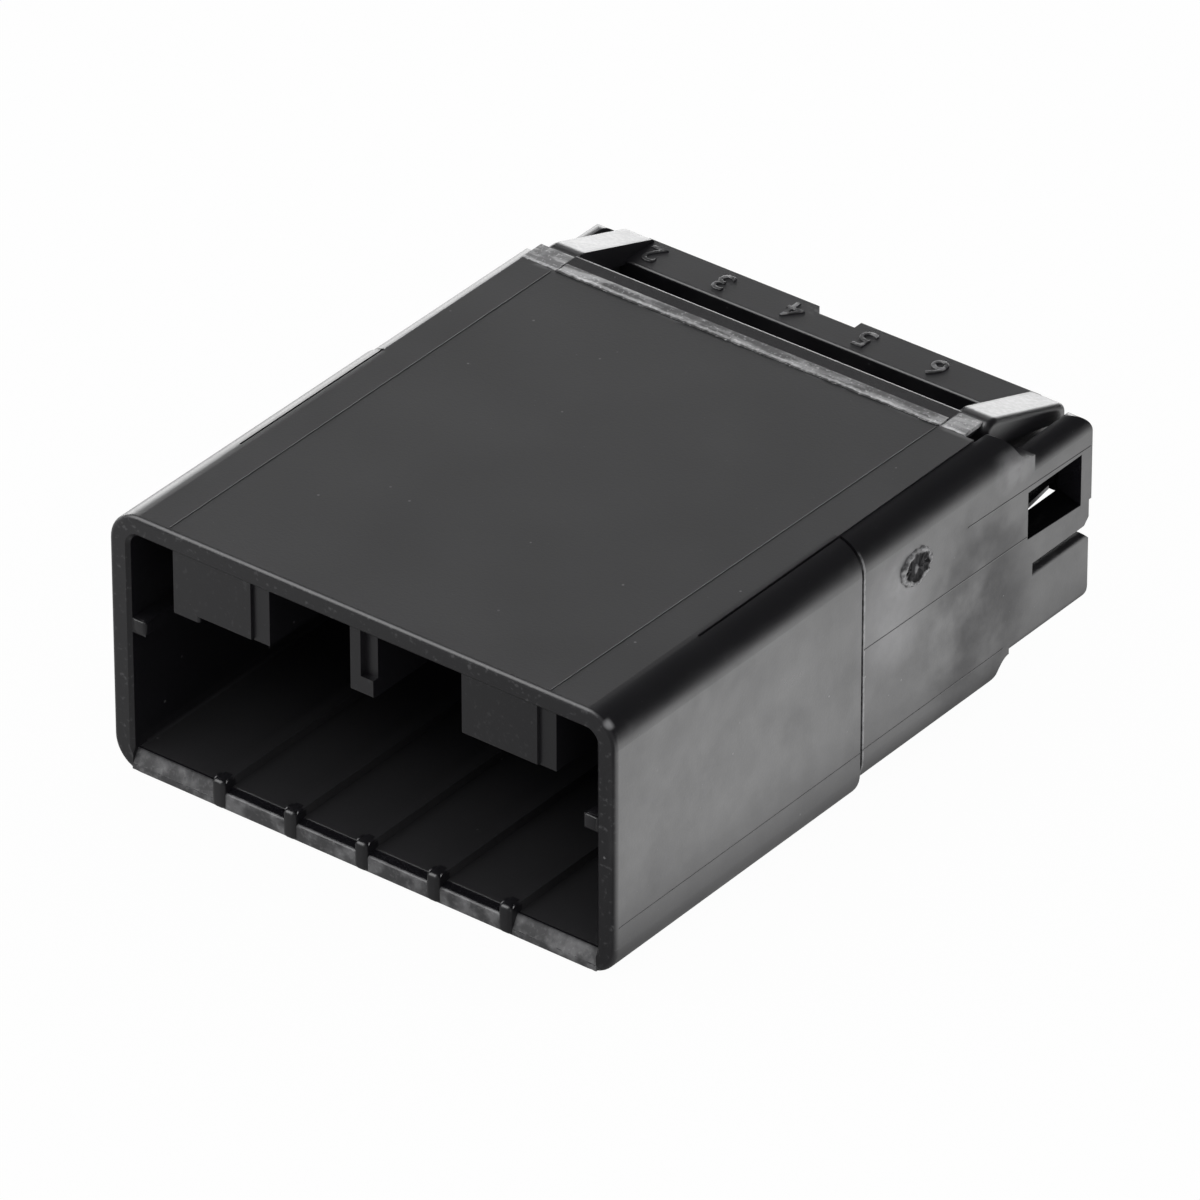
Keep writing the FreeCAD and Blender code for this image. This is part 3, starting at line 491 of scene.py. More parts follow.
@dataclass(frozen=True)
class CreasedWeb(MouldedPlastic):
    """Thin plastic that turned white and streaky where it was bent."""

    pale: Point = (0.74, 0.74, 0.75)
    streak_stretch: Point = (0.28, 1.3, 1.0)
    drift_stretch: Point = (1.0, 0.0, 0.0)
    roof_edge: Spot = (24.06, 24.14)
    border: Spot = (24.12, 24.26)
    ends: Spot = (9.4, 9.5)
    whitest: Spot = (-4.0, -9.0)

    def marks(self, tree: ShaderTree) -> tuple[Any, Any]:
        """Whitening and dullness of the web."""
        x, y, _ = tree.millimetres()
        fine = tree.noise(8.0, 3.0)
        streaks = tree.noise(2.4, 4.0, self.streak_stretch)
        drift = tree.noise(0.16, 1.0, self.drift_stretch)
        border = tree.band(y, *self.border, 0.04) * tree.ease(fine, 0.25, 0.5)
        body = tree.ease(streaks + (drift - 0.5) * 0.5, 0.44, 0.66)
        pale = 0.13 + body * (0.28 + tree.ease(x, *self.whitest) * 0.2) + border * 0.26
        pale = pale + tree.ease(tree.size(x), *self.ends) * 0.12
        pale = pale * tree.ease(y, *self.roof_edge) + tree.ease(fine, 0.56, 0.72) * 0.40
        return pale.at_most(0.95), (fine - 0.5) * 0.2


@dataclass(frozen=True)
class WornLip(MouldedPlastic):
    """Rough pale edge where the floor of the mouth ends, carrying the floor's painted light behind
    it.
    """

    outer: Spot = (7.0, 7.1)
    front: Spot = (0.13, 0.05)
    outer_front: Spot = (0.38, 0.22)
    behind: Spot = (0.38, 0.46)

    def marks(self, tree: ShaderTree) -> tuple[Any, Any]:
        """Whitening, painted light behind the front, and dullness of the lip."""
        x, y, _ = tree.millimetres()
        blots, fine = tree.noise(1.3, 4.0), tree.noise(6.0, 3.0)
        outer = tree.ease(tree.size(x), *self.outer)
        front = tree.ease(y, *self.front).at_least(tree.ease(y, *self.outer_front) * outer)
        behind = tree.ease(y, *self.behind)
        pale = 0.10 + tree.ease(blots, 0.40, 0.68) * 0.26 + tree.ease(fine, 0.5, 0.75) * 0.14
        dull = front * (0.34 + (fine - 0.5) * 0.2) - (1.0 - behind) * 0.22
        # Behind its front the lip takes on the floor's painted light.
        return (pale * front + behind * 0.06).at_most(0.9), dull


@dataclass(frozen=True)
class ScarredGate(MouldedPlastic):
    """Torn plastic of the sprue's scar: a pale rim and pip, partly whitened plastic and partly
    painted highlight, around a matt dark hollow.
    """

    rim: Spot = (0.50, 0.62)
    hollow: Spot = (0.62, 0.46)
    pip: Spot = (18.75, 9.0)
    pip_radii: Spot = (0.16, 0.26)

    def marks(self, tree: ShaderTree) -> tuple[Any, Any]:
        """Whitening with painted highlight, and dullness of the scar."""
        _, y, z = tree.millimetres()
        a, b = ((value - centre) * (1 / radius)
                for value, centre, radius in zip((y, z), SCAR, SCAR_RADII))
        reach = a * a + b * b + (tree.noise(1.6, 3.0) - 0.5) * 0.9
        torn = tree.ease(tree.noise(4.0, 3.0), 0.35, 0.65) * 0.40
        # Rim and pip are pale partly as torn whitened plastic and partly as painted highlight.
        rim = tree.ease(reach, *self.rim) * (0.12 + torn)
        pip = tree.patch(y, z, self.pip, self.pip_radii) * 0.55
        pale = rim + pip + tree.specks(2.6, 0.12) * 0.25
        return pale.at_most(0.9), tree.ease(reach, *self.hollow) * 0.5


# Pieces


class Workbench:
    """Small set of hand tools: selections by place, and the operators that shape a piece."""

    def __init__(self, piece: bpy.types.Object, name: str) -> None:
        """Name a piece that was just added, and put its place and size into its mesh.

        Args:
            piece: The piece, selected alone.
            name: Its name.
        """
        self.piece = piece
        piece.name = name
        bpy.ops.object.transform_apply(location=True, rotation=True, scale=True)

    @classmethod
    def block(cls, name: str, low: Point, high: Point) -> "Workbench":
        """Add a block between two corners.

        Args:
            name: The piece's name.
            low: Lowest corner in millimetres, with Y counted from the mouth.
            high: Highest corner, likewise.

        Returns:
            The block on its bench.
        """
        bpy.ops.object.select_all(action="DESELECT")
        centre = [(a + b) / 2 for a, b in zip(low, high)]
        bpy.ops.mesh.primitive_cube_add(size=1.0, location=at(*centre),
                                        scale=tuple((b - a) * MM for a, b in zip(low, high)))
        return cls(bpy.context.object, name)

    def twin(self, name: str, shift: float = 0.0, mirrored: bool = False) -> "Workbench":
        """Copy the piece, with a mesh of its own.

        Args:
            name: The copy's name.
            shift: How far to the right the copy goes.
            mirrored: Whether the copy goes to the other side of the housing.

        Returns:
            The copy on its bench.
        """
        bpy.ops.object.select_all(action="DESELECT")
        copy = self.piece.copy()
        copy.data = self.piece.data.copy()
        bpy.context.scene.collection.objects.link(copy)
        copy.location.x = shift * MM
        copy.scale.x = -1.0 if mirrored else 1.0
        copy.select_set(True)
        bpy.context.view_layer.objects.active = copy
        return Workbench(copy, name)

    def select(self, kind: Element, wanted: Test) -> None:
        """Enter edit mode with the elements selected that pass a test.

        Args:
            kind: What is selected.
            wanted: Test on the element's middle in millimetres, and on the direction of an edge
                or the normal of a face or corner.
        """
        bpy.ops.object.mode_set(mode="EDIT")
        bpy.ops.mesh.select_mode(type=kind.value)
        bpy.ops.mesh.select_all(action="DESELECT")
        bpy.ops.object.mode_set(mode="OBJECT")
        mesh = self.piece.data
        if kind is Element.CORNER:
            items = [(v, v.co, v.normal) for v in mesh.vertices]
        elif kind is Element.EDGE:
            ends = [[mesh.vertices[number].co for number in e.vertices] for e in mesh.edges]
            items = [(e, (a + b) / 2, b - a) for e, (a, b) in zip(mesh.edges, ends)]
        else:
            items = [(p, p.center, p.normal) for p in mesh.polygons]
        for item, middle, direction in items:
            place = Vector((middle.x / MM, middle.y / MM + MIDDLE, middle.z / MM))
            item.select = bool(wanted(place, direction))
        bpy.ops.object.mode_set(mode="EDIT")

    def bevel(self, wanted: Test, width: float, segments: int = 3) -> "Workbench":
        """Round the edges that pass a test."""
        self.select(Element.EDGE, wanted)
        bpy.ops.mesh.bevel(offset=width * MM, segments=segments, profile=0.5, affect="EDGES")
        bpy.ops.object.mode_set(mode="OBJECT")
        return self

    def move(self, wanted: Test, by: Point) -> "Workbench":
        """Shift the points that pass a test."""
        self.select(Element.CORNER, wanted)
        bpy.ops.transform.translate(value=tuple(c * MM for c in by))
        bpy.ops.object.mode_set(mode="OBJECT")
        return self

    def slice(self, through: Point, normal: Point) -> "Workbench":
        """Cut off what lies on the normal's side of a plane, and close the cut."""
        self.select(Element.FACE, everything)
        bpy.ops.mesh.bisect(plane_co=at(*through), plane_no=normal, use_fill=True,
                            clear_outer=True)
        bpy.ops.object.mode_set(mode="OBJECT")
        return self

    def rib(self, cuts: int, axis: int, start: float, end: float) -> "Workbench":
        """Add evenly spaced rings of edges across an axis, between two places in millimetres."""
        for number in range(1, cuts + 1):
            spot = [0.0, MIDDLE, 0.0]
            spot[axis] = start + (end - start) * number / (cuts + 1)
            normal = [0.0, 0.0, 0.0]
            normal[axis] = 1.0
            self.select(Element.FACE, everything)
            bpy.ops.mesh.bisect(plane_co=at(*spot), plane_no=normal)
            bpy.ops.object.mode_set(mode="OBJECT")
        return self

    def roughen(self, wanted: Test, amount: float, seed: int) -> "Workbench":
        """Shift the points that pass a test a little at random."""
        self.select(Element.CORNER, wanted)
        bpy.ops.transform.vertex_random(offset=amount * MM, uniform=0.3, normal=0.4, seed=seed)
        bpy.ops.object.mode_set(mode="OBJECT")
        return self

    def weld(self, distance: float) -> "Workbench":
        """Merge points that lie closer than a distance."""
        self.select(Element.CORNER, everything)
        bpy.ops.mesh.remove_doubles(threshold=distance * MM)
        bpy.ops.object.mode_set(mode="OBJECT")
        return self

    def finish(self, body: str | None, material: bpy.types.Material,
               angle: float = 40.0) -> bpy.types.Object:
        """Smooth the piece, give it its material, and let it ride on a body.

        Args:
            body: The body that carries it, or None for a piece that spans the hinge.
            material: Its material.
            angle: Edges sharper than this many degrees stay sharp.

        Returns:
            The piece.
        """
        piece = self.piece
        bpy.ops.object.select_all(action="DESELECT")
        piece.select_set(True)
        bpy.context.view_layer.objects.active = piece
        bpy.ops.object.mode_set(mode="EDIT")
        bpy.ops.mesh.select_all(action="SELECT")
        bpy.ops.mesh.normals_make_consistent(inside=False)
        bpy.ops.object.mode_set(mode="OBJECT")
        bpy.ops.object.shade_smooth_by_angle(angle=math.radians(angle))
        piece.data.materials.clear()
        piece.data.materials.append(material)
        if body:
            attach(piece, body)
        LOG.info("%s: %d faces on %s", piece.name, len(piece.data.polygons), body or "the hinge")
        return piece

    def finish_pair(self, body: str, material: bpy.types.Material) -> None:
        """Finish the piece as the left one of a pair, and its mirror image as the right one.

        Args:
            body: The body that carries both.
            material: Their material.
        """
        stem = self.piece.name
        self.piece.name = f"{stem}_{Side.LEFT.value}"
        twin = self.twin(f"{stem}_{Side.RIGHT.value}", mirrored=True)
        self.finish(body, material)
        twin.finish(body, material)


@dataclass
class PartingLines:
    """Fine ridges that the mould's joints left along both sides and on the roof."""

    width: float = 0.055
    height: float = 0.014
    sink: float = 0.03
    bevel_share: float = 0.3
    front_wall: float = 12.25
    sides: tuple[tuple[str, float, Spot, Spot], ...] = (
        ("low_front", front_wall, (0.22, 2.35), (15.28, 2.35)),
        ("low_rear", REAR_WALL, (15.55, 2.35), (24.6, 2.35)),
        ("mid_front", REAR_WALL, (15.55, 6.92), (25.8, 6.74)),
        ("mid_rear", REAR_WALL, (25.8, 6.74), (26.08, 6.72)),
        ("upper", REAR_WALL, (22.2, 9.12), (30.2, 8.86)),
    )
    roof: tuple[tuple[str, Spot, Spot], ...] = (
        ("roof_left", (-9.4, 0.25), (-9.5, 23.9)),
        ("roof_right", (9.02, 0.25), (9.33, 23.9)),
    )

    def ridge(self, name: str, start: Point, end: Point, across: Point, out: Point) -> Workbench:
        """Lay one ridge between two points of a face.

        Args:
            name: The piece's name.
            start: First end on the face.
            end: Other end on the face.
            across: Direction of its width.
            out: Direction away from the face.

        Returns:
            The shaped piece.
        """
        spread = [abs(a) * self.width / 2 + abs(o) * 0.5 * (self.sink + self.height)
                  for a, o in zip(across, out)]
        shift = [o * (self.height - self.sink) / 2 for o in out]
        low = [start[i] - spread[i] + shift[i] for i in range(3)]
        high = [start[i] + spread[i] + shift[i] for i in range(3)]
        low[1], high[1] = start[1], end[1]
        bench = Workbench.block(name, tuple(low), tuple(high))
        fall = (end[0] - start[0], 0.0, end[2] - start[2])
        bench.move(lambda place, _: place.y > (start[1] + end[1]) / 2, fall)
        reach = [start[i] + out[i] * self.height for i in range(3)]

        def crest(place: Vector, direction: Vector) -> bool:
            """Whether an edge is one of the two along the ridge's top."""
            outside = sum(out[i] * (place[i] - reach[i]) for i in (0, 2)) > -0.01
            return runs_along(direction, 1) and (outside or out[2] > 0.5 and place.z > ROOF)

        return bench.bevel(crest, self.width * self.bevel_share, 2)

    def build(self, material: bpy.types.Material) -> None:
        """Make and dress all ridges."""
        for name, wall, (y0, z0), (y1, z1) in self.sides:
            ridge = self.ridge(f"parting_line_{name}", (-wall, y0, z0), (-wall, y1, z1),
                               (0, 0, 1), (-1, 0, 0))
            ridge.finish_pair("housing", material)
        for name, (x0, y0), (x1, y1) in self.roof:
            ridge = self.ridge(f"parting_line_{name}", (x0, y0, ROOF), (x1, y1, ROOF),
                               (1, 0, 0), (0, 0, 1))
            ridge.finish("housing", material)


@dataclass(frozen=True)
class LipShape:
    """Section of a lip: its depth and top, and the plane that slopes the top to the front."""

    depth: float
    crown: float
    cut_depth: float
    cut_normal: Point


@dataclass
class MouthFloor:
    """Rough front lip of the floor between the ribs, and the ribs' rounded noses."""

    ribs: int = 5
    rib_half: float = 0.3
    side_end: float = 11.33
    lip_foot: float = 0.13
    lip_proud: float = 0.012
    lip_cuts: int = 36
    roughness: float = 0.011
    lip_bevel: float = 0.07
    outer_lip: LipShape = LipShape(0.82, 0.958, 0.33, (0.0, -0.86, 0.52))
    middle_lip: LipShape = LipShape(0.47, 0.955, 0.42, (0.0, -0.346, 0.938))
    nose_half: float = 0.31
    nose_depths: Spot = (-0.13, 0.6)
    nose_levels: Spot = (0.1, 1.362)
    nose_bevel: float = 0.19
    nub_low: Point = (-11.30, 0.1, 6.33)
    nub_high: Point = (-10.62, 0.7, 7.01)
    nub_bevel: float = 0.16

    @property
    def centres(self) -> list[float]:
        """Middles of the floor ribs, from left to right."""
        return [PITCH * (number - (self.ribs - 1) / 2) for number in range(self.ribs)]

    def lips(self, material: bpy.types.Material) -> None:
        """Lay the lip in each gap: a low edge between the ribs, a steeper one beside them."""
        centres = self.centres
        gaps = [(a + self.rib_half, b - self.rib_half) for a, b in zip(centres, centres[1:])]
        gaps = [(-self.side_end, centres[0] - self.rib_half), *gaps,
                (centres[-1] + self.rib_half, self.side_end)]
        for number, (left, right) in enumerate(gaps, start=1):
            lip = self.outer_lip if number in (1, len(gaps)) else self.middle_lip
            bench = Workbench.block(f"mouth_lip_{number}", (left, -self.lip_proud, self.lip_foot),
                                    (right, lip.depth, lip.crown))
            bench.slice((0, lip.cut_depth, lip.crown), lip.cut_normal)
            bench.rib(self.lip_cuts, 0, left, right)
            bench.bevel(lambda place, direction: place.y < 0.1 and place.z > 0.3
                        and runs_along(direction, 0), self.lip_bevel, 2)
            bench.roughen(lambda place, _: place.z < 0.4
                          and left + 0.02 < place.x < right - 0.02, self.roughness, number)
            bench.finish("housing", material, 15.0)

    def noses(self, material: bpy.types.Material) -> None:
        """Give each floor rib, and the nub on each side wall, a rounded nose at the mouth."""
        first = self.centres[0]
        (front, rear), (foot, top) = self.nose_depths, self.nose_levels
        nose = Workbench.block("floor_rib_nose_1", (first - self.nose_half, front, foot),
                               (first + self.nose_half, rear, top))
        nose.bevel(lambda place, direction: place.y < 0.3
                   and (runs_along(direction, 2) and place.y < 0.01
                        or place.z > 1.3 or place.z < 0.2), self.nose_bevel, 5)
        noses = [nose, *(nose.twin(f"floor_rib_nose_{number + 1}", shift=PITCH * number)
                         for number in range(1, self.ribs))]
        for bench in noses:
            bench.finish("housing", material)
        nub = Workbench.block("wall_nub_nose", self.nub_low, self.nub_high)
        nub.bevel(lambda place, _: place.y < 0.35 or abs(place.x) < 10.7, self.nub_bevel, 4)
        nub.finish_pair("housing", material)


@dataclass
class HingeSkin:
    """Thin web along the roof's rear edge, creased white by bending, and its two end blocks."""

    half: float = 9.34
    roof_rear: float = 24.03
    bar_front: float = 24.66
    overlap: float = 0.05
    top: float = 11.77
    thickness: float = 0.17
    end_left: Spot = (-11.1, -9.42)
    end_right: Spot = (9.42, 10.5)
    end_rear: float = 25.32
    end_drop: float = 0.03
    web_cuts: int = 120
    end_cuts: int = 12
    depth_cuts: int = 7
    groove_half: float = 0.12
    groove: float = 0.03
    crumple: float = 0.03
    side_margin: float = 0.01
    rear_margin: float = 0.1
    blend_half: float = 0.2

    def build(self, material: bpy.types.Material) -> None:
        """Make the web between the roof and the flap's bar, and one block at each end."""
        middle = (self.roof_rear + self.bar_front) / 2
        front, web_rear = self.roof_rear - self.overlap, self.bar_front + self.overlap
        spans = {"hinge_skin": (-self.half, self.half, web_rear, self.top, self.web_cuts),
                 "hinge_end_left": (*self.end_left, self.end_rear, self.top - self.end_drop,
                                    self.end_cuts),
                 "hinge_end_right": (*self.end_right, self.end_rear, self.top - self.end_drop,
                                     self.end_cuts)}
        for seed, (name, (left, right, rear, top, cuts)) in enumerate(spans.items(), start=3):
            bench = Workbench.block(name, (left, front, top - self.thickness), (right, rear, top))
            bench.rib(cuts, 0, left, right)
            bench.rib(self.depth_cuts, 1, front, rear)
            upper = top - self.thickness / 2
            bench.move(lambda place, _: abs(place.y - middle) < self.groove_half
                       and place.z > upper, (0, 0, -self.groove))
            bench.roughen(lambda place, _: self.roof_rear < place.y < rear - self.rear_margin
                          and left + self.side_margin < place.x < right - self.side_margin
                          and place.z > upper, self.crumple, seed)
            piece = bench.finish(None, material, 70.0)
            at(0, middle - self.blend_half, HINGE_LEVEL)
            at(0, middle + self.blend_half, HINGE_LEVEL)
            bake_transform(piece)


@dataclass
class PlateNumbers:
    """Raised numbers 2 to 6 over the wire cavities, read from the wire side."""

    first: float = -8.75
    depth: float = 29.47
    level: float = 10.12
    size: float = 1.62
    slimming: float = 0.012
    relief: float = 0.03
    digits: str = "23456"

    def build(self, material: bpy.types.Material) -> None:
        """Write, turn and place each number."""
        for index, digit in enumerate(self.digits):
            bpy.ops.object.select_all(action="DESELECT")
            bpy.ops.object.text_add(location=(0, 0, 0))
            text = bpy.context.object.data
            text.body, text.size = digit, self.size
            text.align_x, text.align_y = "CENTER", "CENTER"
            text.offset, text.extrude = -self.slimming, self.relief
            text.bevel_depth, text.bevel_resolution = self.relief, 2
            bpy.ops.object.convert(target="MESH")
            piece = bpy.context.object
            spots = [v.co for v in piece.data.vertices]
            middle = [(min(s[i] for s in spots) + max(s[i] for s in spots)) / 2 for i in range(2)]
            centring = Matrix.Translation((-middle[0], -middle[1], 0.0))
            turn = Matrix.Rotation(math.pi, 4, "Z") @ centring
            place = at(self.first + PITCH * index, self.depth, self.level)
            piece.matrix_world = Matrix.Translation(place) @ Matrix.Scale(MM, 4) @ turn
            bench = Workbench(piece, f"plate_number_{digit}")
            bench.weld(0.002)
            bench.finish("flap", material, 35.0)


@dataclass
class FlapLatches:
    """Latch on each leg of the flap, behind the loop's window, and the sill's inner ramp, in a
    darker plastic that paints the window's shade.
    """

    foot: float = 6.3
    pad_sides: Spot = (-11.0, -10.3)
    pad_top: float = 8.66
    underside: tuple[Spot, ...] = ((27.2, 6.86), (29.19, 7.15), (29.46, 7.02))
    toe_low: Point = (-10.995, 29.4, 6.3)
    toe_high: Point = (-10.72, 30.1, 8.6)
    toe_heel: Spot = (29.5, 7.0)
    toe_cut: Spot = (0.1, 0.4)
    sill_low: Point = (-12.15, 26.08, 6.2)
    sill_high: Point = (-11.08, 29.62, 6.8)
    sill_middle: Spot = (28.0, 6.5)
    sill_crest: float = 11.6
    sill_fall: float = 0.19
    sill_rear_fall: float = 0.2
    sill_bevel: float = 0.05

    def build(self, shaded: bpy.types.Material) -> None:
        """Make both latches and both ramps in the darker plastic that paints the window's shade."""
        (inner, outer), (front, *_, rear) = self.pad_sides, [depth for depth, _ in self.underside]
        pad = Workbench.block("latch_pad", (inner, front, self.foot), (outer, rear, self.pad_top))
        for depth, _ in self.underside:
            pad.rib(1, 1, depth, depth)
        for depth, level in self.underside:
            pad.move(lambda place, _: abs(place.y - depth) < 0.01 and place.z < self.foot + 0.1,
                     (0, 0, level - self.foot))
        pad.finish_pair("flap", shaded)
        toe = Workbench.block("latch_toe", self.toe_low, self.toe_high)
        toe.move(lambda place, _: place.y < self.toe_heel[0] and place.z < self.toe_heel[1],
                 (0, *self.toe_cut))
        toe.finish_pair("flap", shaded)
        ramp = Workbench.block("window_sill", self.sill_low, self.sill_high)
        depth, level = self.sill_middle
        ramp.move(lambda place, _: abs(place.x) > self.sill_crest and place.z > level,
                  (0, 0, -self.sill_fall))
        ramp.move(lambda place, _: place.y > depth and abs(place.x) > self.sill_crest
                  and place.z > level, (0, 0, -self.sill_rear_fall))
        ramp.bevel(lambda place, direction: runs_along(direction, 1) and place.z > level
                   and abs(place.x) < self.sill_crest, self.sill_bevel)
        ramp.finish_pair("housing", shaded)


@dataclass
class GateScar:
    """Rough round scar that the cut sprue left on the right side."""

    corners: int = 44
    thickness: float = 0.2
    sunk: float = 0.07
    steps: tuple[Spot, ...] = ((0.10, 0.07), (0.12, 0.01), (0.12, -0.07), (0.34, 0.0), (0.10, 0.07))
    torn: float = 0.06
    torn_seeds: tuple[int, int] = (3, 8)
    grain: float = 0.012
    grain_seed: int = 5

    def build(self, material: bpy.types.Material) -> None:
        """Model a low ragged ring around a hollow with a pip in its middle."""
        along, up = SCAR_RADII
        bpy.ops.object.select_all(action="DESELECT")
        bpy.ops.mesh.primitive_cylinder_add(vertices=self.corners, radius=1.0,
                                            depth=self.thickness * MM,
                                            location=at(REAR_WALL - self.sunk, *SCAR),
                                            rotation=(0.0, math.radians(90.0), 0.0),
                                            scale=(up * MM, along * MM, 1.0))
        bench = Workbench(bpy.context.object, "gate_scar")
        bench.select(Element.FACE, lambda place, direction: direction.x > 0.9)
        for width, lift in self.steps:
            bpy.ops.mesh.inset(thickness=width * MM, depth=lift * MM)
        bpy.ops.object.mode_set(mode="OBJECT")
        for seed in self.torn_seeds:
            bench.roughen(lambda place, _: place.x > REAR_WALL - 0.02, self.torn, seed)
        smooth = bench.piece.modifiers.new("smooth", "SUBSURF")
        smooth.levels = 2
        bpy.ops.object.modifier_apply(modifier=smooth.name)
        bench.roughen(lambda place, _: place.x > REAR_WALL - 0.01, self.grain, self.grain_seed)
        bench.finish("housing", material, 70.0)


# Studio


@dataclass(frozen=True)
class StudioTable:
    """White table top: plain white to the eye, and in gloss brightest behind the part."""

    name: str
    colour: float = 0.8
    glow_share: float = 0.97
    lit: float = 2.9
    lit_reach: float = 48.0 * MM
    beside: Spot = (11.0 * MM, 16.5 * MM)
    behind_aim: Spot = (0.62, 0.78)
    behind: Spot = (-11.0 * MM, 1.0 * MM)
    shade: float = 0.30
    shade_slope: float = 9.0
    shade_limits: Spot = (0.14, 0.62)
    backdrop_foot: float = 4.2
    backdrop_aim: Spot = (-0.60, 0.80)
    backdrop_reach: Spot = (45.0 * MM, 140.0 * MM)

    def in_gloss(self, tree: ShaderTree) -> Socket:
        """How bright the table shows in the part's gloss.

        Args:
            tree: The tree that the nodes go into.

        Returns:
            The brightness, where 1 is white.
        """
        x, y, _ = tree.parts(tree.place())
        pool = self.lit / ((x * x + y * y) * (1.0 / self.lit_reach ** 2) + 1.0)
        (ax, ay), (bx, by) = self.behind_aim, self.backdrop_aim
        bright = tree.ease(tree.size(x), *self.beside)
        bright = bright * tree.ease(x * ax + y * ay, *self.behind)
        least, most = self.shade_limits
        dim = (self.shade - x * self.shade_slope).at_least(least).at_most(most)
        foot = tree.ease(x * bx + y * by, *self.backdrop_reach) * self.backdrop_foot
        return dim + (pool - dim) * bright + foot

    def build(self) -> bpy.types.Material:
        """Make the material.

        Returns:
            The finished material.
        """
        material = bpy.data.materials.new(self.name)
        tree = ShaderTree(material)
        camera, gloss = tree.rays("Is Camera Ray"), tree.rays("Is Glossy Ray")
        seen = (camera + gloss + tree.rays("Is Transmission Ray")).at_most(1.0)
        strength = 1.0 + (self.in_gloss(tree) - 1.0) * gloss
        plain = tree.node("ShaderNodeBsdfDiffuse", {},
                          {"Color": (self.colour, self.colour, self.colour, 1.0)})
        glow = tree.node("ShaderNodeEmission", {}, {"Color": tree.grey(strength), "Strength": 1.0})
        tree.finish(tree.node("ShaderNodeMixShader", {},
                              {0: seen * self.glow_share, 1: plain, 2: glow}))
        return material


@dataclass(frozen=True)
class Glow:
    """Soft round patch of light or dark in the surround, with its radii in degrees."""

    aim: Point
    strength: float
    inner: float
    outer: float


@dataclass(frozen=True)
class StudioSurround:
    """Even plain light, with what the gloss sees: a low backdrop, a key panel and a dark flag."""

    name: str
    light: float = 0.85
    haze: float = 0.30
    flag: Glow = Glow((0.50, 0.68, 0.53), 0.93, 36.0, 64.0)
    backdrop: Glow = Glow((-0.62, 0.79, 0.05), 5.3, 20.0, 42.0)
    backdrop_top: Spot = (0.34, 0.10)
    panel: Glow = Glow((-0.55, -0.35, 0.76), 4.2, 14.0, 34.0)

    def patch(self, tree: ShaderTree, direction: Socket, glow: Glow) -> Socket:
        """How strongly a patch shows in a direction.

        Args:
            tree: The tree that the nodes go into.
            direction: The direction.
            glow: The patch.

        Returns:
            The patch's strength inside it and zero outside it.
        """
        outer, inner = math.cos(math.radians(glow.outer)), math.cos(math.radians(glow.inner))
        return tree.ease(tree.toward(direction, glow.aim), outer, inner) * glow.strength

    def build(self) -> bpy.types.World:
        """Make the world.

        Returns:
            The finished world.
        """
        world = bpy.data.worlds.new(self.name)
        tree = ShaderTree(world)
        direction = tree.node("ShaderNodeTexCoord", {}, {}, "Generated")
        *_, height = tree.parts(direction)
        low = tree.ease(height, *self.backdrop_top)
        sky = self.haze * (1.0 - self.patch(tree, direction, self.flag))
        sky = sky + self.patch(tree, direction, self.backdrop) * low
        sky = sky + self.patch(tree, direction, self.panel)
        light = self.light + (sky - self.light) * tree.rays("Is Glossy Ray")
        strength = light + (1.0 - light) * tree.rays("Is Camera Ray")
        tree.finish(tree.node("ShaderNodeBackground", {},
                              {"Color": tree.grey(strength), "Strength": 1.0}))
        return world


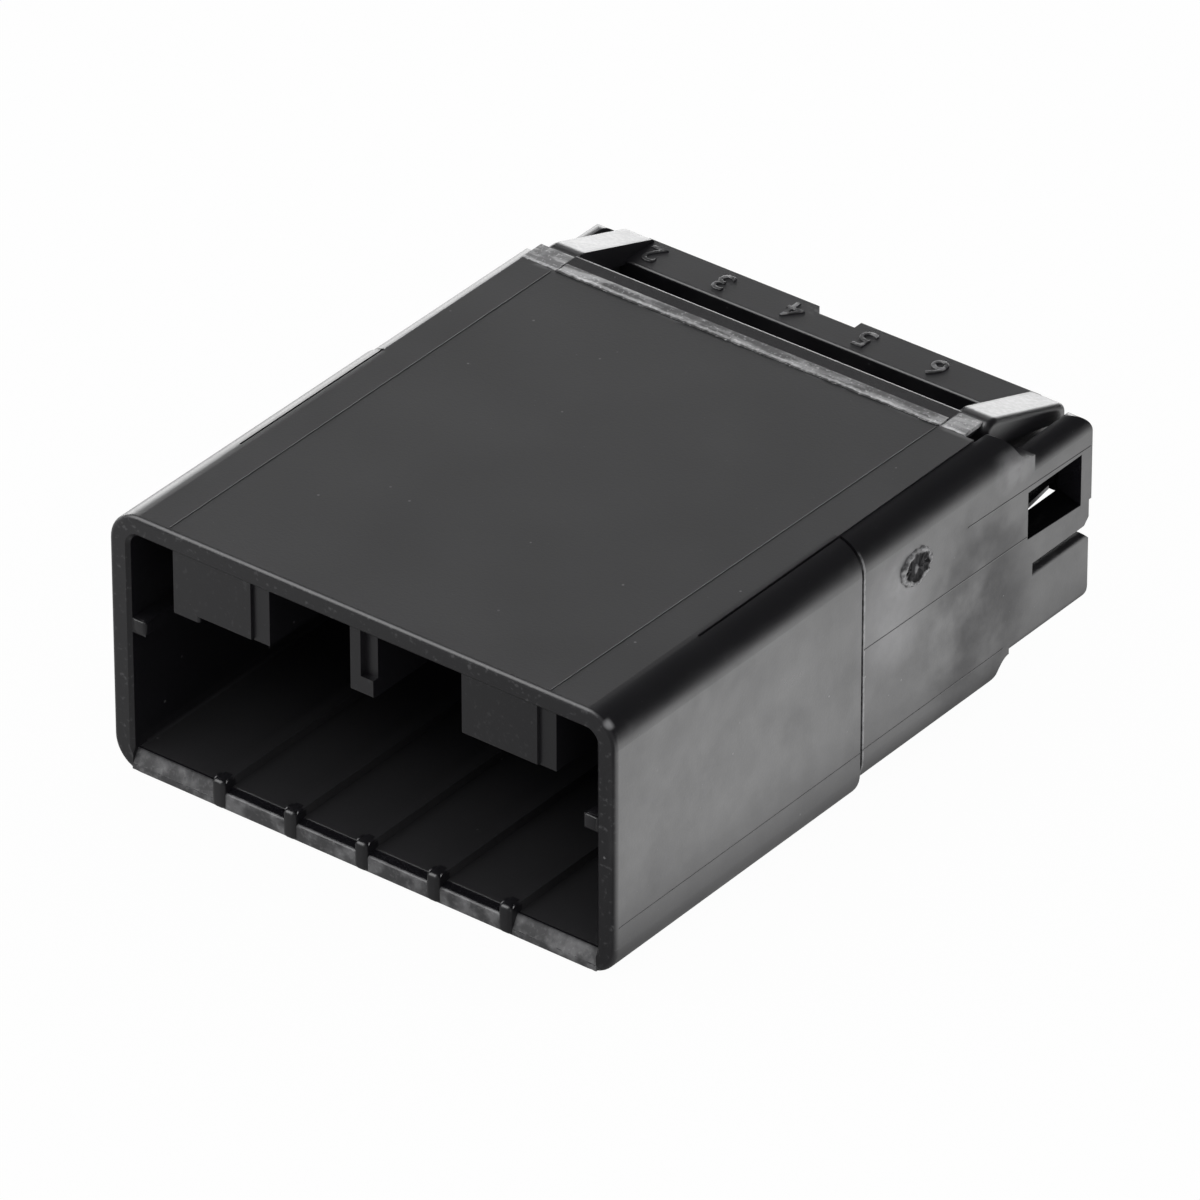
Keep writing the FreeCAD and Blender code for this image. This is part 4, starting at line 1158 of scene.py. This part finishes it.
@dataclass
class Studio:
    """Floor, surround and the camera of the photograph."""

    azimuth: float = 37.9128
    elevation: float = 32.7670
    roll: float = 0.0961
    distance: float = 496.9639 * MM
    target: Point = (2.1846 * MM, -3.2 * MM, 7.0655 * MM)
    lens: float = 388.5
    sensor: float = 36.0
    sight: Spot = (0.01, 20.0)
    floor_size: float = 3.0

    def view(self) -> Vector:
        """Direction in which the camera looks."""
        az, el = math.radians(self.azimuth), math.radians(self.elevation)
        return Vector((-math.sin(az) * math.cos(el), math.cos(az) * math.cos(el), -math.sin(el)))

    def add_camera(self) -> None:
        """Put the camera where the photograph was taken from."""
        data = bpy.data.cameras.new("photo_camera")
        data.lens, data.sensor_width = self.lens, self.sensor
        data.clip_start, data.clip_end = self.sight
        camera = bpy.data.objects.new("photo_camera", data)
        bpy.context.scene.collection.objects.link(camera)
        view = self.view()
        place = Vector(self.target) - view * self.distance
        tilt = Matrix.Rotation(math.radians(-self.roll), 3, "Z")
        turn = view.to_track_quat("-Z", "Y").to_matrix() @ tilt
        camera.matrix_world = Matrix.Translation(place) @ turn.to_4x4()
        bpy.context.scene.camera = camera

    def add_floor(self) -> None:
        """Lay a plain white floor under the part."""
        bpy.ops.object.select_all(action="DESELECT")
        bpy.ops.mesh.primitive_plane_add(size=self.floor_size, location=(0.0, 0.0, 0.0))
        floor = bpy.context.object
        floor.name = "studio_floor"
        floor.data.materials.append(StudioTable("studio_table").build())

    def build(self) -> None:
        """Set up the whole studio."""
        self.add_camera()
        self.add_floor()
        scene = bpy.context.scene
        scene.world = StudioSurround("studio_surround").build()
        scene.view_settings.view_transform = "Standard"


def main() -> None:
    """Build the part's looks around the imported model."""
    logging.basicConfig(level=logging.INFO, format="%(message)s")
    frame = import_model()
    plastic = MouldedPlastic("black_plastic").build()
    # A darker, glossier copy of the black plastic, which paints the deep shade inside the loop's
    # windows.
    shaded = MouldedPlastic("shade_painted_plastic", colour=(0.002, 0.002, 0.0024), roughness=0.16).build()
    skins = {"housing": HousingSkin("housing_skin").build(),
             "rear_lock_flap": FlapSkin("flap_skin").build()}
    for name, node in frame["nodes"].items():
        for slot in node.material_slots:
            slot.material = skins.get(name, plastic)
    PartingLines().build(plastic)
    floor = MouthFloor()
    floor.lips(WornLip("worn_lip").build())
    floor.noses(plastic)
    HingeSkin().build(CreasedWeb("creased_web").build())
    PlateNumbers().build(NumbersWithPaintedGlints("raised_numbers").build())
    FlapLatches().build(shaded)
    GateScar().build(ScarredGate("gate_scar_skin").build())
    Studio().build()


if __name__ == "__main__":
    main()
